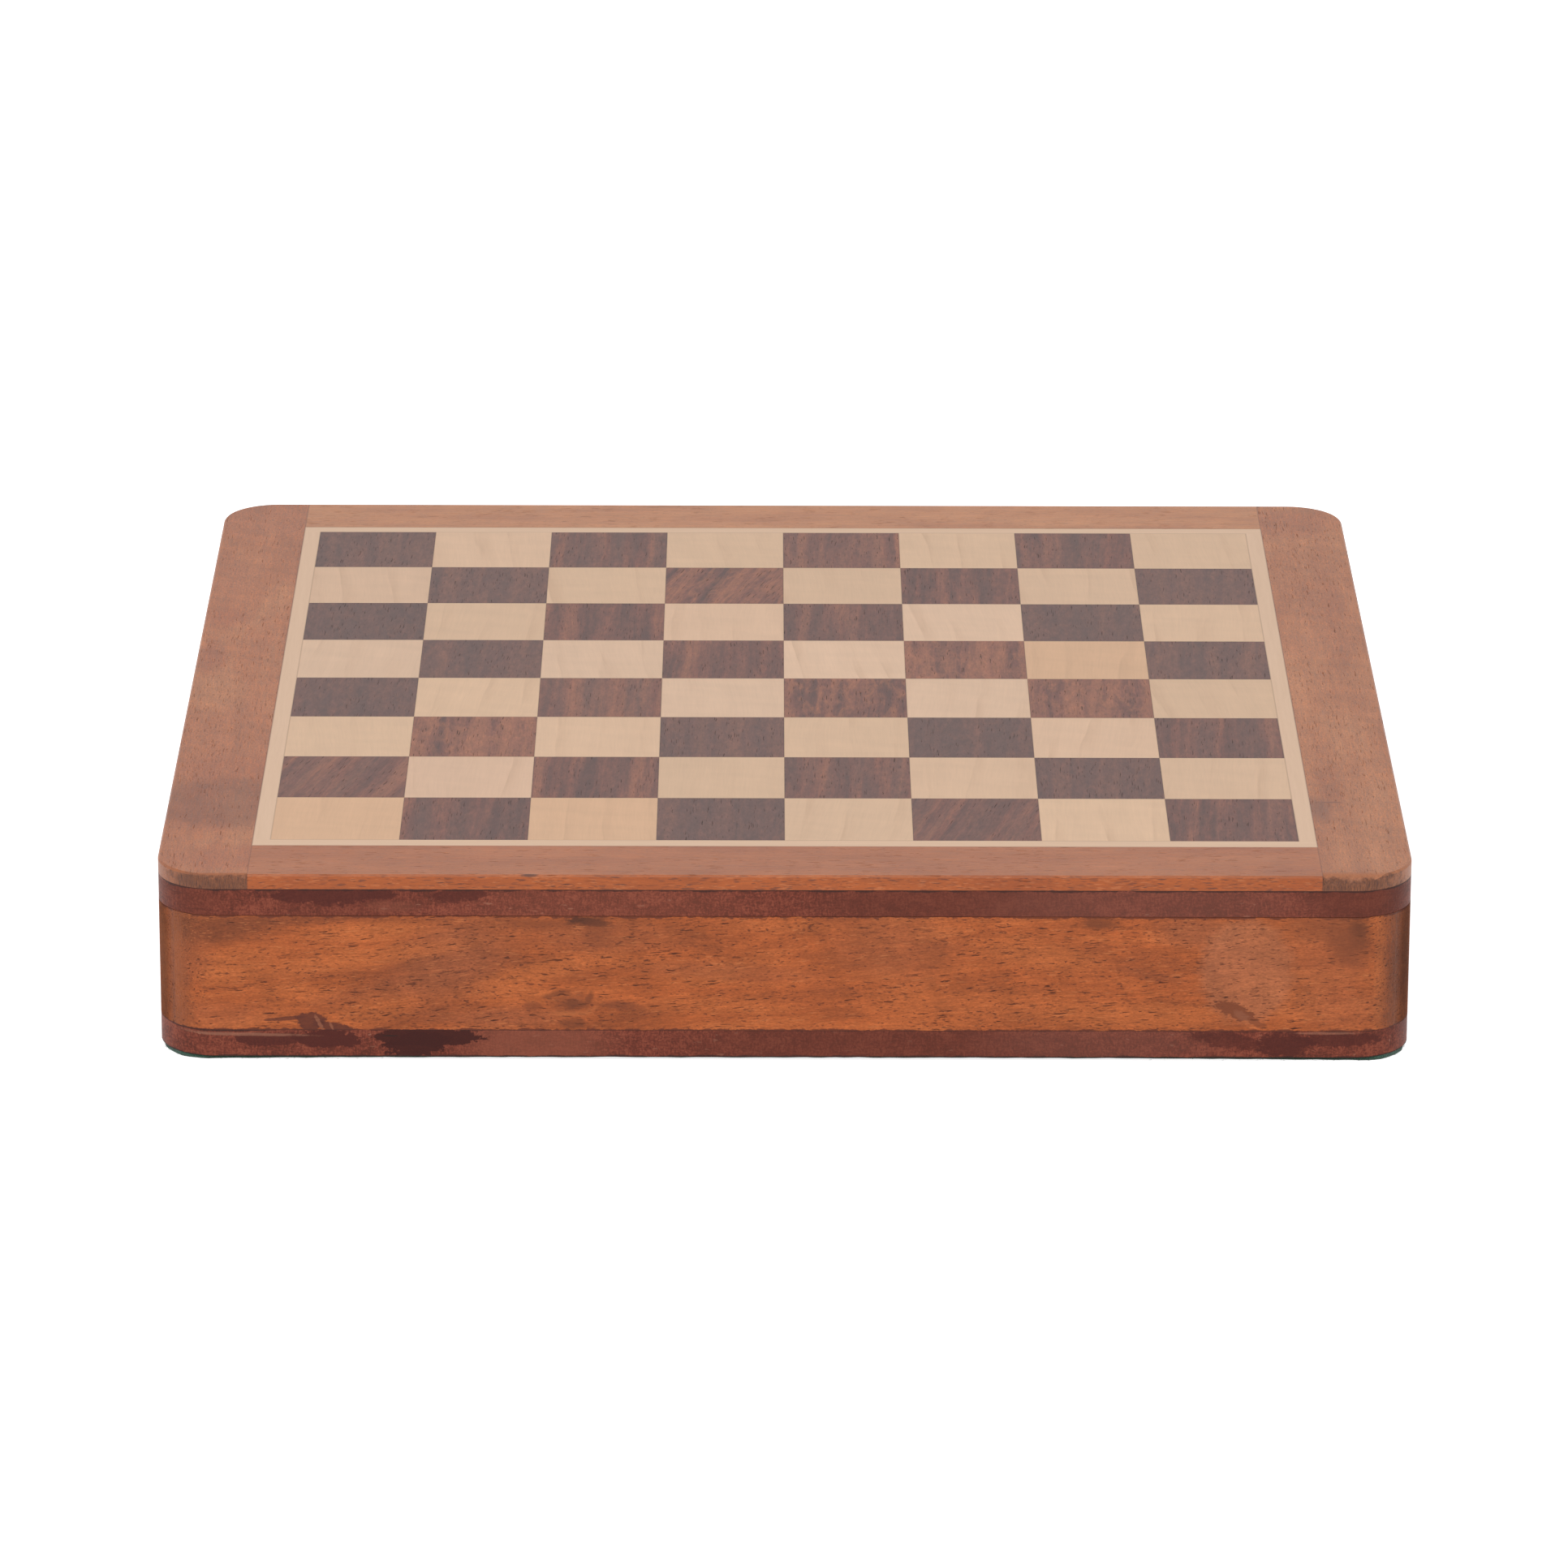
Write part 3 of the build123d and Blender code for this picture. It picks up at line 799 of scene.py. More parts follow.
wallMarks = [
    (-43.2, 12.6, 4.4, 2.4, 4, "umber", 0.6, 0.3, 0.6),  # knot
    (-42.8, 12.3, 2, 1.1, 0, "char", 0.75, 0.55, 0.5),
    (-46, 14.6, 3, 0.6, 16, "char", 0.6, 0.4, 0.5),
    (-39.6, 13.4, 0.7, 1.5, -20, "char", 0.6, 0.4, 0.5),
    (-43.4, 10.3, 3.6, 0.5, 0, "rim", 0.4, 0.35, 0.8),  # its pale lower rim
    (-39, 11.2, 1.2, 0.4, 24, "rim", 0.3, 0.35, 0.8),
    (-42.8, 8.1, 2.6, 1.2, 0, "char", 0.6, 0.45, 0.4),
    (-33, 12, 4.6, 0.9, -4, "umber", 0.7, 0.45, 0.5),
    (-51, 11.9, 1.8, 0.9, 0, "umber", 0.6, 0.45, 0.5),
    (-39.5, 30.2, 4.4, 1, -3, "soot", 0.85, 0.55, 0.4),  # dark smear under the seam
    (-52, 29.8, 6, 1.6, 0, "umber", 0.6, 0.5, 0.5),
    (-37.5, 27.4, 3, 3.2, 0, "umber", 0.55, 0.4, 0.6),
    (-95.8, 8.6, 3.2, 1.9, 6, "spill", 0.9, 0.36, 0.08),  # stain run up from the bottom board
    (-91.4, 7.3, 4.6, 1, -12, "spill", 0.9, 0.36, 0.08),
    (-101, 9.1, 4, 0.4, 5, "spill", 0.8, 0.3, 0.2),
    (-94.2, 8.2, 0.4, 1.9, 26, "wiped", 0.65, 0.6, 0.3),
    (-91.8, 7.6, 0.25, 1, 20, "wiped", 0.65, 0.6, 0.3),
    (91, 11.2, 3.8, 1.7, -28, "umber", 0.95, 0.55, 0.1),  # stain below the patch
    (92.6, 10, 1.8, 0.8, -28, "wiped", 0.45, 0.45, 0.3),
    (95.6, 8.6, 2.4, 0.8, -30, "umber", 0.7, 0.6, 0.2),
    (115.8, 28.4, 2, 3.2, 8, "soot", 0.75, 0.3, 0.7),
    (115, 24.4, 2.6, 4, 4, "umber", 0.6, 0.35, 0.8),
    (112.4, 26, 2.6, 4.6, 18, "umber", 0.6, 0.3, 0.6),
    (107, 28.8, 8, 3.2, 0, "umber", 0.5, 0.4, 0.8),
    (63.5, 30, 3.4, 1.4, 0, "char", 0.7, 0.5, 0.5),
    # paler tone easing the painted corner shade beside the left corner
    (-123.6, 19, 1.8, 15, 0, "amber", 0.3, 0.1, 0.6),
]
rightCornerMark = (127.4, 19, 4.4, 15, 0, "soot", 0.7, 0.05, 0.5)  # painted shade darkening the right corner, and paler painted light easing it at the left one; both cross a mitre
leftCornerMark = (-127.4, 19, 2.2, 15, 0, "rubbed", 0.5, 0.06, 0.5)
leftRailPatches = [  # x and y on top
    (-116, -82, 16, 16, 0, "umber", 0.65, 0.1, 0.3),
    (-116, -60, 16, 8, 0, "tan", 0.4, 0.12, 0.5),
    (-112, -116, 13, 7, 0, "tan", 0.55, 0.12, 0.5),
    (-118, -36, 16, 18, 0, "fawn", 0.25, 0.12, 0.5),
    (-122, -10, 7, 12, 0, "sand", 0.6, 0.14, 0.5),
    (-124.5, 14, 3.6, 9, 0, "brown", 0.6, 0.16, 0.5),
    (-122, 42, 4.6, 6, 0, "tan", 0.5, 0.2, 0.5),
    (-123, 72, 6, 14, 0, "fawn", 0.65, 0.12, 0.5),
    (-116, 112, 12, 10, 0, "fawn", 0.65, 0.12, 0.5),
]
leftRailPoreCrowds = [
    (-117, -36, 14, 30, 0, 1, 0.7),
    (-117, 20, 14, 22, 0, 0.4, 0.4),
]
rightRailPatches = [
    (114, 112, 10, 10, 0, "brown", 0.55, 0.14, 0.5),
    (119, 70, 10, 36, 0, "fawn", 0.2, 0.14, 0.5),
    (116, 24, 10, 8, 0, "fawn", 0.4, 0.14, 0.5),
    (120, -104, 9, 22, 0, "sand", 0.3, 0.14, 0.5),
]
rightRailPoreCrowds = [
    (118, -60, 12, 30, 0, 0.7, 0.4),
    (118, 84, 12, 20, 0, 0.9, 0.4),
]
rightRailMarks = [
    (109.6, -85, 2.6, 7, 8, "dusky", 0.5, 0.2, 0.6),
    (112.6, -80.5, 2.4, 0.4, 0, "char", 0.6, 0.15, 0.5),
    (110.6, -83, 0.4, 4, -8, "dusky", 0.4, 0.2, 0.6),
]
frontRailMarks = [
    (-51.5, -125.8, 1.9, 0.45, 0, "soot", 0.85, 0.3, 0.4, 0.5),  # chip in the arris
]
lidBoardMarks = [
    (-122, 34, 10, 6, 0, "thick", 0.4, 0.12, 0.5),
    (-88, 34, 16, 5, 0, "thick", 0.25, 0.14, 0.5),
    (-38, 34, 28, 7, 0, "thin", 0.25, 0.12, 0.5),
    (32, 34, 26, 7, 0, "thick", 0.6, 0.12, 0.5),
    (74, 34, 30, 6, 0, "dusty", 0.45, 0.12, 0.5),
    (119, 34, 13, 6, 0, "thick", 0.65, 0.12, 0.5),
    (-91, 35.9, 13, 2.2, 0, "blotch", 0.8, 0.45, 0.08),
    (-66, 35.8, 6, 1.5, 0, "blotch", 0.7, 0.55, 0.1),
    (-79, 33.2, 5, 1.2, 0, "thin", 0.35, 0.3, 0.5),
]
bottomBoardMarks = [
    (-50, 4, 14, 6, 0, "thin", 0.65, 0.12, 0.5),
    (16, 4, 36, 7, 0, "thick", 0.55, 0.12, 0.5),
    (64, 4, 22, 5, 0, "dusty", 0.45, 0.16, 0.5),
    (-104.5, 4.7, 7, 1.3, 0, "blotch", 0.85, 0.45, 0.08),
    (-93, 4.8, 6.6, 2, 0, "blotch", 0.95, 0.45, 0.06),
    (-72.5, 5.1, 11.4, 2, 0, "blot", 0.95, 0.28, 0.05),
    (-74.5, 3.5, 6.4, 2.6, 4, "blot", 0.95, 0.4, 0.05),
    (-79.8, 5.4, 1.7, 0.14, 0, "nick", 0.95, 0.05, 0.3),  # nick
    (89.5, 4.8, 7, 1.7, -10, "blotch", 0.65, 0.55, 0.06),
    (101, 3.9, 6, 2.5, 0, "blotch", 0.85, 0.5, 0.12),
    (112, 4.8, 9, 1.5, 0, "blotch", 0.8, 0.55, 0.08),
    (-114, 6.5, 11, 0.16, 0, "glue", 0.8, 0.1, 0.3),
    (-110, 5.7, 13, 0.35, -1, "scuffed", 0.6, 0.35, 0.3),
    (110, 6.3, 6, 0.3, 0, "scuffed", 0.5, 0.4, 0.3),
]


def paint(material, *names):
    for name in names:
        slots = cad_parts[name].data.materials
        slots.clear()
        slots.append(material)


def dress(node, turn, shift, *marks, **look):
    # every board and rail is cut from another part of the plank
    name = node.removeprefix("lid_").replace("_", " ") + " wood"
    paint(reddishWood(name, turn, shift, *marks, **look), node)


def dressWood():
    corners = {"paintedCornerShade": 0.8, "stainLevels": [(wallHigh.z, 0.34), (wallLow.z, 0.3)]}
    frontMarks = [*wallMarks, leftCornerMark, rightCornerMark]
    dress("wall_front", alongX, (0, 40, 12), wallPatches, frontMarks, wallPoreCrowds, **corners)
    dress("wall_back", alongX, (310, 160, 55), **corners)
    dress("wall_left", alongY, (620, 70, 90), marks=[leftCornerMark], **corners)
    dress("wall_right", alongY, (-450, 210, 130), marks=[rightCornerMark], **corners)
    topLook = {"lean": 0.0, "sway": (0.0, 1.5, 1.8), "onTop": True, "jointLines": True, "shine": 0.5,
               "roll": (0.440, 0.170, 0.080), "poreClumps": 0.7}
    frontLook = {**topLook, "deep": (0.355, 0.106, 0.037), "base": (0.397, 0.124, 0.043),
                 "bright": (0.430, 0.139, 0.050), "fibreDepths": (0.10, 0.08, 0.04), "speckleDepth": 0.07,
                 "poreShare": 0.5, "poreStrength": 0.45, "tickShare": 0.3, "tickStrength": 0.35,
                 "faceTint": (0.94, 0.66, 0.29), "shimmerDepth": 0.04, "fleck": (0.620, 0.215, 0.080),
                 "fleckStrength": 0.2, "faceStreak": 0.9}
    backLook = {**frontLook, "deep": (0.450, 0.175, 0.076), "base": (0.505, 0.204, 0.087),
                "bright": (0.540, 0.226, 0.098)}
    rightLook = {**topLook, "deep": (0.335, 0.105, 0.038), "base": (0.415, 0.142, 0.052),
                 "bright": (0.465, 0.172, 0.068), "fibreDepths": (0.17, 0.10, 0.05), "speckleDepth": 0.20,
                 "poreShare": 0.5, "poreSpacing": (6.0, 0.36), "poreStrength": 0.5, "cloud": (50.0, 9.0),
                 "tickShare": 0.5, "tickSpacing": (2.4, 0.42), "tickStrength": 0.42, "fleckStrength": 0.3,
                 "pore": (0.085, 0.024, 0.012), "endPale": (0.300, 0.098, 0.034)}
    leftLook = {**rightLook, "roll": (0.330, 0.112, 0.046), "base": (0.412, 0.131, 0.046)}
    dress("lid_rail_front", alongX, (90, 300, 20), marks=frontRailMarks, **frontLook)
    dress("lid_rail_back", alongX, (-260, 330, 70), **backLook)
    dress("lid_rail_left", alongY, (140, -190, 35), leftRailPatches, (), leftRailPoreCrowds, **leftLook)
    dress("lid_rail_right", alongY, (-380, -260, 15), rightRailPatches, rightRailMarks, rightRailPoreCrowds,
          **rightLook)
    paint(darkSquares("rosewood squares"), *(f"rank_{rank}_dark" for rank in range(1, 9)))
    paint(lightSquares("maple squares"), *(f"rank_{rank}_light" for rank in range(1, 9)))
    paint(paleStrip("maple strip along", alongX), "border_strip_front", "border_strip_back")
    paint(paleStrip("maple strip across", alongY), "border_strip_left", "border_strip_right")
    paint(stainedBoard("lid board stain", lidBoardMarks, [(railLevel, 0.45)]), "lid_base_board")
    paint(stainedBoard("bottom board stain", bottomBoardMarks, [(bottomHigh.z, 0.14), (bottomLow.z, 0.3)]),
          "bottom_board")


dressWood()
hingeBrass = workedMetal("hinge brass", (0.76, 0.56, 0.28), (0.42, 0.27, 0.13), 0.28, 6.0)
screwBrass = workedMetal("screw brass", (0.78, 0.58, 0.31), (0.38, 0.25, 0.13), 0.25, 1.2)
magnetNickel = workedMetal("magnet nickel", (0.66, 0.64, 0.60), (0.40, 0.38, 0.35), 0.22, 1.0)
for side in ("left", "right"):
    paint(hingeBrass, f"box_hinge_leaf_{side}", f"lid_hinge_leaf_{side}", f"hinge_pin_{side}")
paint(magnetNickel, "box_magnets", "lid_magnets")
feltGreen = greenCloth("green felt", feltLook)
trayVelvet = greenCloth("tray velvet", velvetLook)
print("wood, metal and cloth painted")


# ---- meshes


def newPiece(name, mesh, body, slotName, material, smoothAngle=40):
    mesh.polygons.foreach_set("use_smooth", [True] * len(mesh.polygons))
    mesh.set_sharp_from_angle(angle=math.radians(smoothAngle))
    mesh.materials.append(material)
    piece = bpy.data.objects.new(name, mesh)
    bpy.context.scene.collection.objects.link(piece)
    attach(piece, body)
    return piece


def finishedMesh(name, build):
    mesh = bpy.data.meshes.new(name)
    build.to_mesh(mesh)
    build.free()
    return mesh


def joinRings(build, lower, upper, inward=False):
    for i in range(len(lower)):
        j = (i + 1) % len(lower)
        if inward:
            build.faces.new((lower[j], lower[i], upper[i], upper[j]))
        else:
            build.faces.new((lower[i], lower[j], upper[j], upper[i]))


def roundedOutline(halfX, halfY, radius, step=1.5):
    # evenly spaced points round a rectangle with round corners, each with its outward direction
    walk = []
    for quarter, (signX, signY) in enumerate(((1, 1), (-1, 1), (-1, -1), (1, -1))):
        centre = Vector((signX * (halfX - radius), signY * (halfY - radius)))
        arcSteps = max(3, round(radius * math.pi / 2 / step))
        for i in range(arcSteps + 1):
            angle = (quarter + i / arcSteps) * math.pi / 2
            out = Vector((math.cos(angle), math.sin(angle)))
            walk.append((centre + radius * out, out))
        run = 2 * ((halfX if quarter % 2 == 0 else halfY) - radius)
        along = Vector((-out.y, out.x))
        start = walk[-1][0]
        runSteps = max(1, round(run / step))
        walk += [(start + along * run * i / runSteps, out) for i in range(1, runSteps)]
    return walk


baseFelt = {"radius": 9.6, "waviness": 0.30, "bow": 1.3, "seed": 7}
lidFelt = {"radius": 1.5, "waviness": 0.2, "bow": 0.0, "seed": 21}


def layFelt(name, node, body, look):
    # thin sheet cut by hand: its edge waves finely and draws in along the middle of each side
    low, high = nodeSize(node)
    build = bmesh.new()
    thick = high.z - low.z
    profile = ((1.6, low.z), (0.45, low.z), (0.0, low.z + 0.35 * thick), (0.05, low.z + 0.75 * thick),
               (0.3, high.z), (1.4, high.z))  # inset and height
    tightness = min(1.0, 0.4 * look["radius"])  # keeps the inner rings from crossing at a tight corner
    outline = roundedOutline(high.x, high.y, look["radius"])
    rings = []
    for inset, height in profile:
        ring = []
        for point, out in outline:
            wave = noise.noise(Vector((point.x * 0.3, point.y * 0.3, look["seed"]))) * look["waviness"]
            middle = max(0.0, 1 - (point.x / high.x) ** 4) * abs(out.y)
            middle += max(0.0, 1 - (point.y / high.y) ** 4) * abs(out.x)
            place = point + out * (wave - look["bow"] * middle - inset * tightness)
            ring.append(build.verts.new((place.x * mm, place.y * mm, height * mm)))
        rings.append(ring)
    for lower, upper in zip(rings, rings[1:]):
        joinRings(build, lower, upper)
    build.faces.new(rings[0][::-1])
    build.faces.new(rings[-1])
    felt = newPiece(name, finishedMesh("felt", build), body, "green_felt", feltGreen)
    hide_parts(node)
    return felt, high.x, high.y


strayFibres = {
    "perMm": 3.2,
    "thinning": 2.2,
    "height": (0.15, 0.95),
    "length": (0.15, 0.6),
    "spread": 1.6,
    "bend": 0.5,
    "rise": (-0.4, 0.5),
    "width": 0.07,
    "rootDepth": 0.3,
    "floorLevel": 0.05,
    "seed": 7,
}


def looseFibres(outline, bareMiddle):
    # fibres that stand out of a cut felt edge, as thin bent ribbons; few along the middle of a side
    look = strayFibres
    draw = random.Random(look["seed"])
    build = bmesh.new()
    spacing = (outline[1][0] - outline[0][0]).length
    half = Vector((0, 0, look["width"] / 2))
    for point, out in outline:
        along = Vector((-out.y, out.x))
        middle = max(abs(out.x) * (1 - abs(point.y) / bareMiddle),
                     abs(out.y) * (1 - abs(point.x) / bareMiddle))
        for _ in range(round(look["perMm"] * spacing)):
            if draw.random() < look["thinning"] * middle:
                continue
            root = point + along * draw.uniform(-0.5, 0.5) * spacing - out * look["rootDepth"]
            height = draw.uniform(*look["height"])
            length = draw.uniform(*look["length"])
            heading = (out + along * draw.uniform(-look["spread"], look["spread"])).normalized()
            bend = along * draw.uniform(-look["bend"], look["bend"])
            rise = draw.uniform(*look["rise"])
            pairs = []
            for share, taper in ((0.0, 1.0), (0.4, 0.8), (0.75, 0.6), (1.0, 0.4)):
                flat = root + heading * length * share + bend * length * share * share
                level = max(look["floorLevel"], height + rise * length * share * share)
                spot = Vector((flat.x, flat.y, level))
                pairs.append([build.verts.new((spot + side * taper) * mm) for side in (half, -half)])
            for (a, b), (c, d) in zip(pairs, pairs[1:]):
                build.faces.new((a, b, d, c))
    return finishedMesh("fibres", build)


felt, halfX, halfY = layFelt("base_felt_sheet", "base_felt", "box", baseFelt)
fuzz = looseFibres(roundedOutline(halfX, halfY, baseFelt["radius"]), halfX)
strands = newPiece("base_felt_fibres", fuzz, "box", "green_felt", feltGreen)
felt, halfX, halfY = layFelt("lid_lining_felt", "lid_lining", "lid", lidFelt)
print("felt laid")


# ---- velvet tray: padded floor, wrapped bars and ribs

velvetBar = {"shoulder": 3.0, "slack": 0.10, "tuck": 0.35, "tuckReach": 0.9, "endPinch": 0.5, "endReach": 1.2,
             "step": 1.2, "ribOverlap": 0.5}


def barProfile(width, height):
    # half turns over a soft arched top, from one foot to the other
    shoulder = velvetBar["shoulder"]
    rise = height - shoulder
    side = [(1.0, rise * share) for share in (0.0, 0.25, 0.5, 0.75, 0.92)]
    arch = []
    for i in range(9):
        angle = math.pi * (i + 0.5) / 9
        cos, sin = math.cos(angle), math.sin(angle)
        arch.append((math.copysign(abs(cos) ** 0.5, cos), rise + shoulder * sin ** 0.8))
    points = side + arch + [(-1.0, level) for _, level in reversed(side)]
    return [(share * width / 2, level) for share, level in points]


def addWrappedBar(build, start, end, width, height, seed, tucks=()):
    # bar from start to end along x or y, standing on their level; ribs press in at the tucks along it
    look = velvetBar
    start, end = Vector(start), Vector(end)
    along = (end - start).normalized()
    across = Vector((-along.y, along.x, 0))
    length = (end - start).length
    steps = round(length / look["step"])
    profile = barProfile(width, height)
    rings = []
    for i in range(steps + 1):
        run = length * i / steps
        near = min((abs(run - tuck) for tuck in tucks), default=99.0)
        pinch = look["tuck"] * math.exp(-(near / look["tuckReach"]) ** 2)
        pinch += look["endPinch"] * max(0.0, 1.0 - min(run, length - run) / look["endReach"]) ** 2
        ring = []
        for offset, level in profile:
            place = start + along * run + across * offset + Vector((0, 0, level))
            slack = (noise.noise(place * 0.16 + Vector((seed, 0, 0))) - 1.0) * look["slack"]
            inward = (slack - pinch) * min(1.0, level)
            onSide = abs(offset) > 0.3 * width
            place += across * math.copysign(inward, offset) if onSide else Vector((0, 0, inward))
            ring.append(build.verts.new(place * mm))
        rings.append(ring)
    for near, far in zip(rings, rings[1:]):
        joinRings(build, near, far)
    build.faces.new(rings[0])
    build.faces.new(rings[-1][::-1])


def finishVelvet(name, build, node):
    bmesh.ops.recalc_face_normals(build, faces=build.faces)
    piece = newPiece(name, finishedMesh(name, build), "box", "tray_velvet", trayVelvet, smoothAngle=60)
    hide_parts(node)
    return piece


def makeTrayBars():
    # pockets lie between the ribs of a row; bars of every row share their places
    sideHigh = nodeSize("tray_side_bar_left")[1]
    pocketWidth = nodeSize("tray_ribs_row_1")[0].x - sideHigh.x
    ribWidth = (2 * -sideHigh.x - 8 * pocketWidth) / 7
    ribPlaces = [(i - 3) * (pocketWidth + ribWidth) for i in range(7)]
    for number in range(1, 6):
        node = f"tray_bar_{number}"
        low, high = nodeSize(node)
        middle = (low.y + high.y) / 2
        tucks = [place + side * ribWidth / 2 - low.x for place in ribPlaces for side in (-1, 1)]
        build = bmesh.new()
        addWrappedBar(build, (low.x, middle, low.z), (high.x, middle, low.z), high.y - low.y, high.z - low.z,
                      number, tucks)
        finishVelvet(f"{node}_velvet", build, node)
    for node in ("tray_side_bar_left", "tray_side_bar_right"):
        low, high = nodeSize(node)
        middle = (low.x + high.x) / 2
        build = bmesh.new()
        addWrappedBar(build, (middle, low.y, low.z), (middle, high.y, low.z), high.x - low.x,
                      high.z - low.z, 11)
        finishVelvet(f"{node}_velvet", build, node)
    for row in range(1, 5):
        node = f"tray_ribs_row_{row}"
        low, high = nodeSize(node)
        front, back = low.y - velvetBar["ribOverlap"], high.y + velvetBar["ribOverlap"]
        build = bmesh.new()
        for i, x in enumerate(ribPlaces):
            addWrappedBar(build, (x, front, low.z), (x, back, low.z), ribWidth, high.z - low.z, 20 * row + i)
        finishVelvet(f"{node}_velvet", build, node)
    return ribPlaces, ribWidth


def crownedLines(edges, steps):
    # places along one side of the tray, with 0 at a bar rising to 1 in the middle of a pocket
    lines = []
    for low, high in edges:
        for i in range(steps + 1):
            share = i / steps
            lines.append((low + (high - low) * share, 1 - abs(2 * share - 1) ** 2.6))
    return lines


def makeTrayFloor(ribPlaces, ribWidth):
    look = {"crown": 0.85, "crease": 0.10, "steps": 12, "fill": 0.7}
    low, high = nodeSize("tray_floor")
    sideHigh = nodeSize("tray_side_bar_left")[1]
    edges = [sideHigh.x]
    for place in ribPlaces:
        edges += [place - ribWidth / 2, place + ribWidth / 2]
    edges.append(-sideHigh.x)
    acrossPockets = zip(edges[0::2], edges[1::2])
    alongPockets = sorted([corner.y for corner in nodeSize(f"tray_ribs_row_{row}")] for row in range(1, 5))
    columns = [(low.x, 0.0), *crownedLines(acrossPockets, look["steps"]), (high.x, 0.0)]
    rows = [(low.y, 0.0), *crownedLines(alongPockets, look["steps"] * 2), (high.y, 0.0)]
    build = bmesh.new()
    top = []
    for y, riseY in rows:
        line = []
        for x, riseX in columns:
            crown = look["crown"] * (riseX * riseY) ** 0.7
            folds = noise.noise(Vector((x * 0.25, y * 0.25, 3.3))) * min(1.0, 4 * riseX * riseY)
            level = high.z + crown + look["crease"] * folds
            line.append(build.verts.new(Vector((x, y, level)) * mm))
        top.append(line)
    for near, far in zip(top, top[1:]):
        for j in range(len(columns) - 1):
            build.faces.new((near[j], near[j + 1], far[j + 1], far[j]))
    rim = top[0] + [line[-1] for line in top[1:]] + top[-1][-2::-1] + [line[0] for line in top[-2:0:-1]]
    foot = [build.verts.new((vert.co.x, vert.co.y, low.z * mm)) for vert in rim]
    joinRings(build, rim, foot, inward=True)
    build.faces.new(foot)
    finishVelvet("tray_floor_pad", build, "tray_floor")


makeTrayFloor(*makeTrayBars())
print("velvet tray made")


# ---- hinge screws

screwLook = {
    "segments": 32,
    "headHeight": 1.0,
    "slotWidth": 0.55,
    "slotDepth": 0.45,
    "shankShare": 0.42,
    "threadShare": 0.78,
    "pitch": 1.0,
    "tip": 1.2,
}


def screwProfile(radius, length):
    # radius and height from under the head to the tip
    look = screwLook
    shank = look["shankShare"] * radius
    thread = shank * look["threadShare"]
    profile = [(radius * 0.96, -0.08), (shank * 1.02, -look["headHeight"])]
    level = -look["headHeight"] - 0.3
    while level > -length + look["tip"]:
        profile += [(thread, level), (shank, level - look["pitch"] * 0.3),
                    (thread, level - look["pitch"] * 0.6)]
        level -= look["pitch"] * 0.7
    return [*profile, (thread, -length + look["tip"]), (0.12, -length)]


def addSlottedScrew(build, place, upward, turn, radius, length):
    # countersunk head with one slot, its tip away from the head
    look = screwLook
    others = set(build.verts)
    rings = []
    for reach, height in ((0.92 * radius, 0), *screwProfile(radius, length)):
        ring = []
        for i in range(look["segments"]):
            angle = 2 * math.pi * i / look["segments"]
            ring.append(build.verts.new((reach * math.cos(angle), reach * math.sin(angle), height)))
        if rings:
            joinRings(build, rings[-1], ring, inward=True)
        else:
            faces = [build.faces.new(ring)]
        rings.append(ring)
    build.faces.new(rings[-1][::-1])
    half = look["slotWidth"] / 2
    for side in (half, -half):
        edges = list({edge for face in faces for edge in face.edges})
        verts = list({vert for face in faces for vert in face.verts})
        cut = bmesh.ops.bisect_plane(build, geom=faces + edges + verts, plane_co=(0, side, 0),
                                     plane_no=(0, 1, 0))
        faces = [item for item in cut["geom"] if isinstance(item, bmesh.types.BMFace)]
    middle = []
    for face in faces:
        centre = face.calc_center_median()
        if abs(centre.y) < half * 0.9 and abs(centre.z) < 0.01:
            middle.append(face)
    slot = bmesh.ops.extrude_discrete_faces(build, faces=middle)["faces"]
    inner = radius - look["slotDepth"] * 1.25
    for vert in {vert for face in slot for vert in face.verts}:
        vert.co.z -= look["slotDepth"]
        if abs(vert.co.x) > inner:
            vert.co.x = math.copysign(inner, vert.co.x)
    flip = 1 if upward else -1
    seat = Matrix.Translation(place * mm) @ Matrix.Rotation(turn, 4, "Z")
    seat = seat @ Matrix.Diagonal((1, flip, flip, 1)) @ Matrix.Scale(mm, 4)
    for vert in build.verts:
        if vert not in others:
            vert.co = seat @ vert.co


def makeHingeScrews():
    draw = random.Random(5)
    for body in ("box", "lid"):
        node = f"{body}_hinge_screws"
        low, high = nodeSize(node)
        upward = body == "box"
        headRadius = (high.y - low.y) / 2
        leafLow, leafHigh = nodeSize(f"{body}_hinge_leaf_right")
        hingeX = (leafLow.x + leafHigh.x) / 2
        offset = high.x - headRadius - hingeX
        build = bmesh.new()
        for x in (-hingeX - offset, -hingeX + offset, hingeX - offset, hingeX + offset):
            place = Vector((x, (low.y + high.y) / 2, high.z if upward else low.z))
            addSlottedScrew(build, place, upward, draw.uniform(0, math.pi), headRadius, high.z - low.z)
        bmesh.ops.recalc_face_normals(build, faces=build.faces)
        mesh = finishedMesh("screws", build)
        screws = newPiece(f"{node}_slotted", mesh, body, "screw_brass", screwBrass, smoothAngle=35)
        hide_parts(node)


makeHingeScrews()
print("hinge screws made")


# ---- floor, light, camera


def seenDirectly(tree):
    # 1 for camera, glossy and transmission rays
    rays = addNode("LightPath", {}, tree)
    mirrored = calc("MAXIMUM", rays["Is Glossy Ray"], rays["Is Transmission Ray"])
    return calc("MAXIMUM", rays["Is Camera Ray"], mirrored)


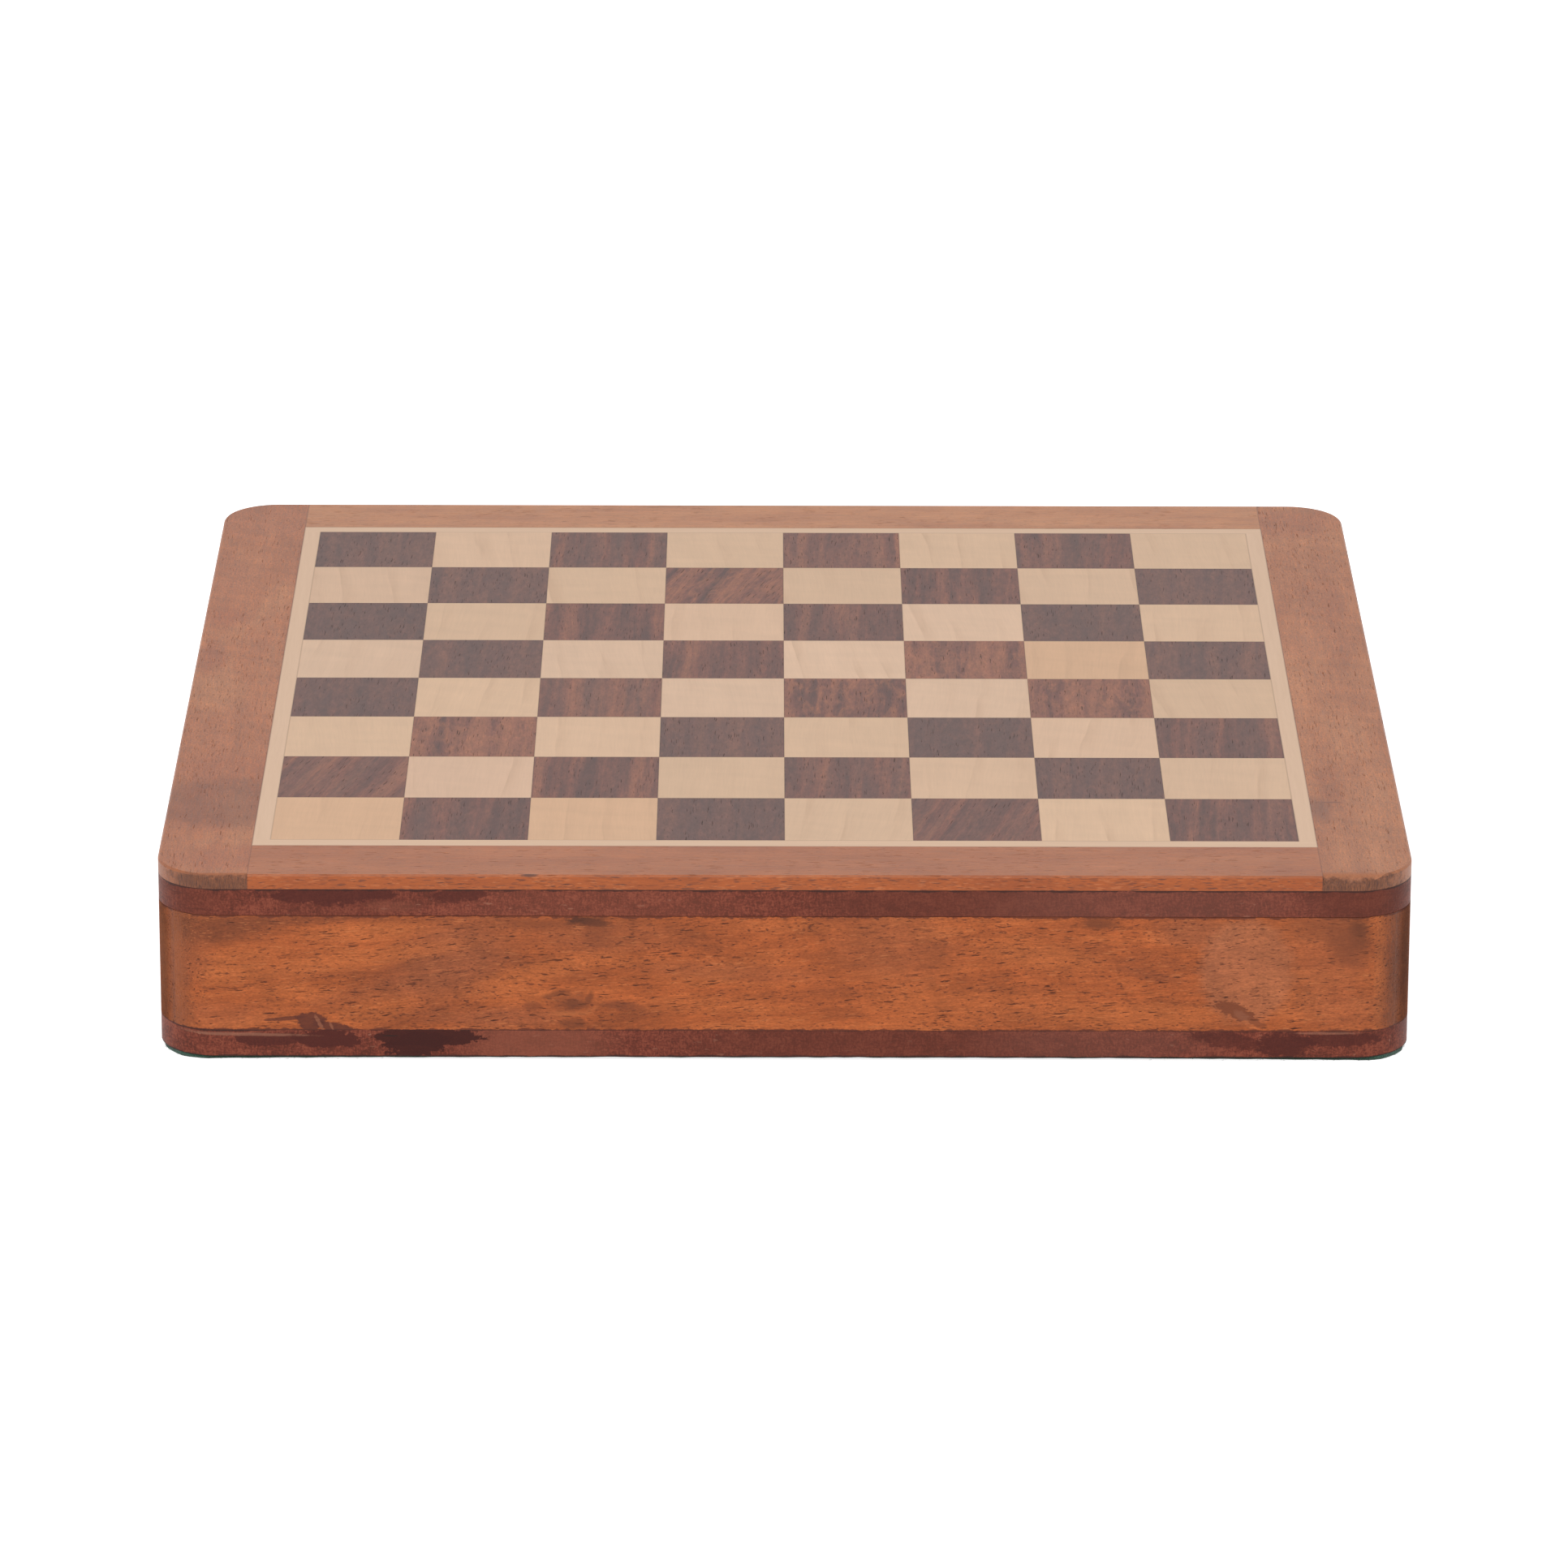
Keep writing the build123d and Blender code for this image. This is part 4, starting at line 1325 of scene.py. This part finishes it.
def makeFloor():
    look = {"half": 4.0, "drop": 0.02, "colour": (0.80, 0.80, 0.80, 1.0), "glow": 0.8}
    mesh = bpy.data.meshes.new("floor")
    half, level = look["half"], -look["drop"] * mm  # just clear of the felt
    corners = [(x * half, y * half, level) for x, y in ((-1, -1), (1, -1), (1, 1), (-1, 1))]
    mesh.from_pydata(corners, [], [(0, 1, 2, 3)])
    floor = bpy.data.objects.new("floor", mesh)
    bpy.context.scene.collection.objects.link(floor)
    material = bpy.data.materials.new("pale floor")
    material.use_nodes = True
    tree = material.node_tree
    tree.nodes.remove(tree.nodes["Principled BSDF"])
    diffuse = addNode("BsdfDiffuse", {"Color": look["colour"]}, tree)[0]
    glow = addNode("Emission", {"Strength": times(seenDirectly(tree), look["glow"])})[0]
    feed(tree.nodes["Material Output"].inputs["Surface"], addNode("AddShader", {0: diffuse, 1: glow})[0])
    mesh.materials.append(material)


def makeWorld():
    look = {"fill": 0.55, "seen": 1.0}  # strength as a light, and as it looks in mirrors and behind the box
    world = bpy.data.worlds.new("studio")
    bpy.context.scene.world = world
    world.use_nodes = True
    tree = world.node_tree
    strength = remap(seenDirectly(tree), 0.0, 1.0, look["fill"], look["seen"])
    feed(tree.nodes["Background"].inputs["Strength"], strength)
    tree.nodes["Background"].inputs["Color"].default_value = (1.0, 1.0, 1.0, 1.0)


def makeKeyLight():
    look = {"azimuth": -12.0, "elevation": 42.0, "distance": 2.4, "size": 1.6, "watts": 28.5}
    turn, lift = math.radians(look["azimuth"]), math.radians(look["elevation"])
    aim = Vector((math.sin(turn) * math.cos(lift), -math.cos(turn) * math.cos(lift), math.sin(lift)))
    lamp = bpy.data.lights.new("soft key", "AREA")
    lamp.shape = "SQUARE"
    lamp.size = look["size"]
    lamp.energy = look["watts"]
    key = bpy.data.objects.new("soft key", lamp)
    key.location = aim * look["distance"]
    key.rotation_euler = aim.to_track_quat("Z", "Y").to_euler()
    bpy.context.scene.collection.objects.link(key)


def makeCamera():
    look = {"spot": (-4.67, -1770.6, 627.4), "pitch": 19.05, "yaw": -0.154, "roll": 0.162, "lens": 199.2}
    view = bpy.data.cameras.new("camera")
    view.lens = look["lens"]
    view.sensor_width = 36.0
    view.clip_start, view.clip_end = 0.05, 30.0
    camera = bpy.data.objects.new("camera", view)
    bpy.context.scene.collection.objects.link(camera)
    turn = Matrix.Rotation(math.radians(look["yaw"]), 4, "Z")
    lean = Matrix.Rotation(math.radians(90 - look["pitch"]), 4, "X")
    roll = Matrix.Rotation(math.radians(look["roll"]), 4, "Z")
    camera.matrix_world = Matrix.Translation(Vector(look["spot"]) * mm) @ turn @ lean @ roll
    bpy.context.scene.camera = camera


makeFloor()
makeWorld()
makeKeyLight()
makeCamera()
bpy.context.scene.view_settings.view_transform = "Standard"
print("floor, light and camera set")
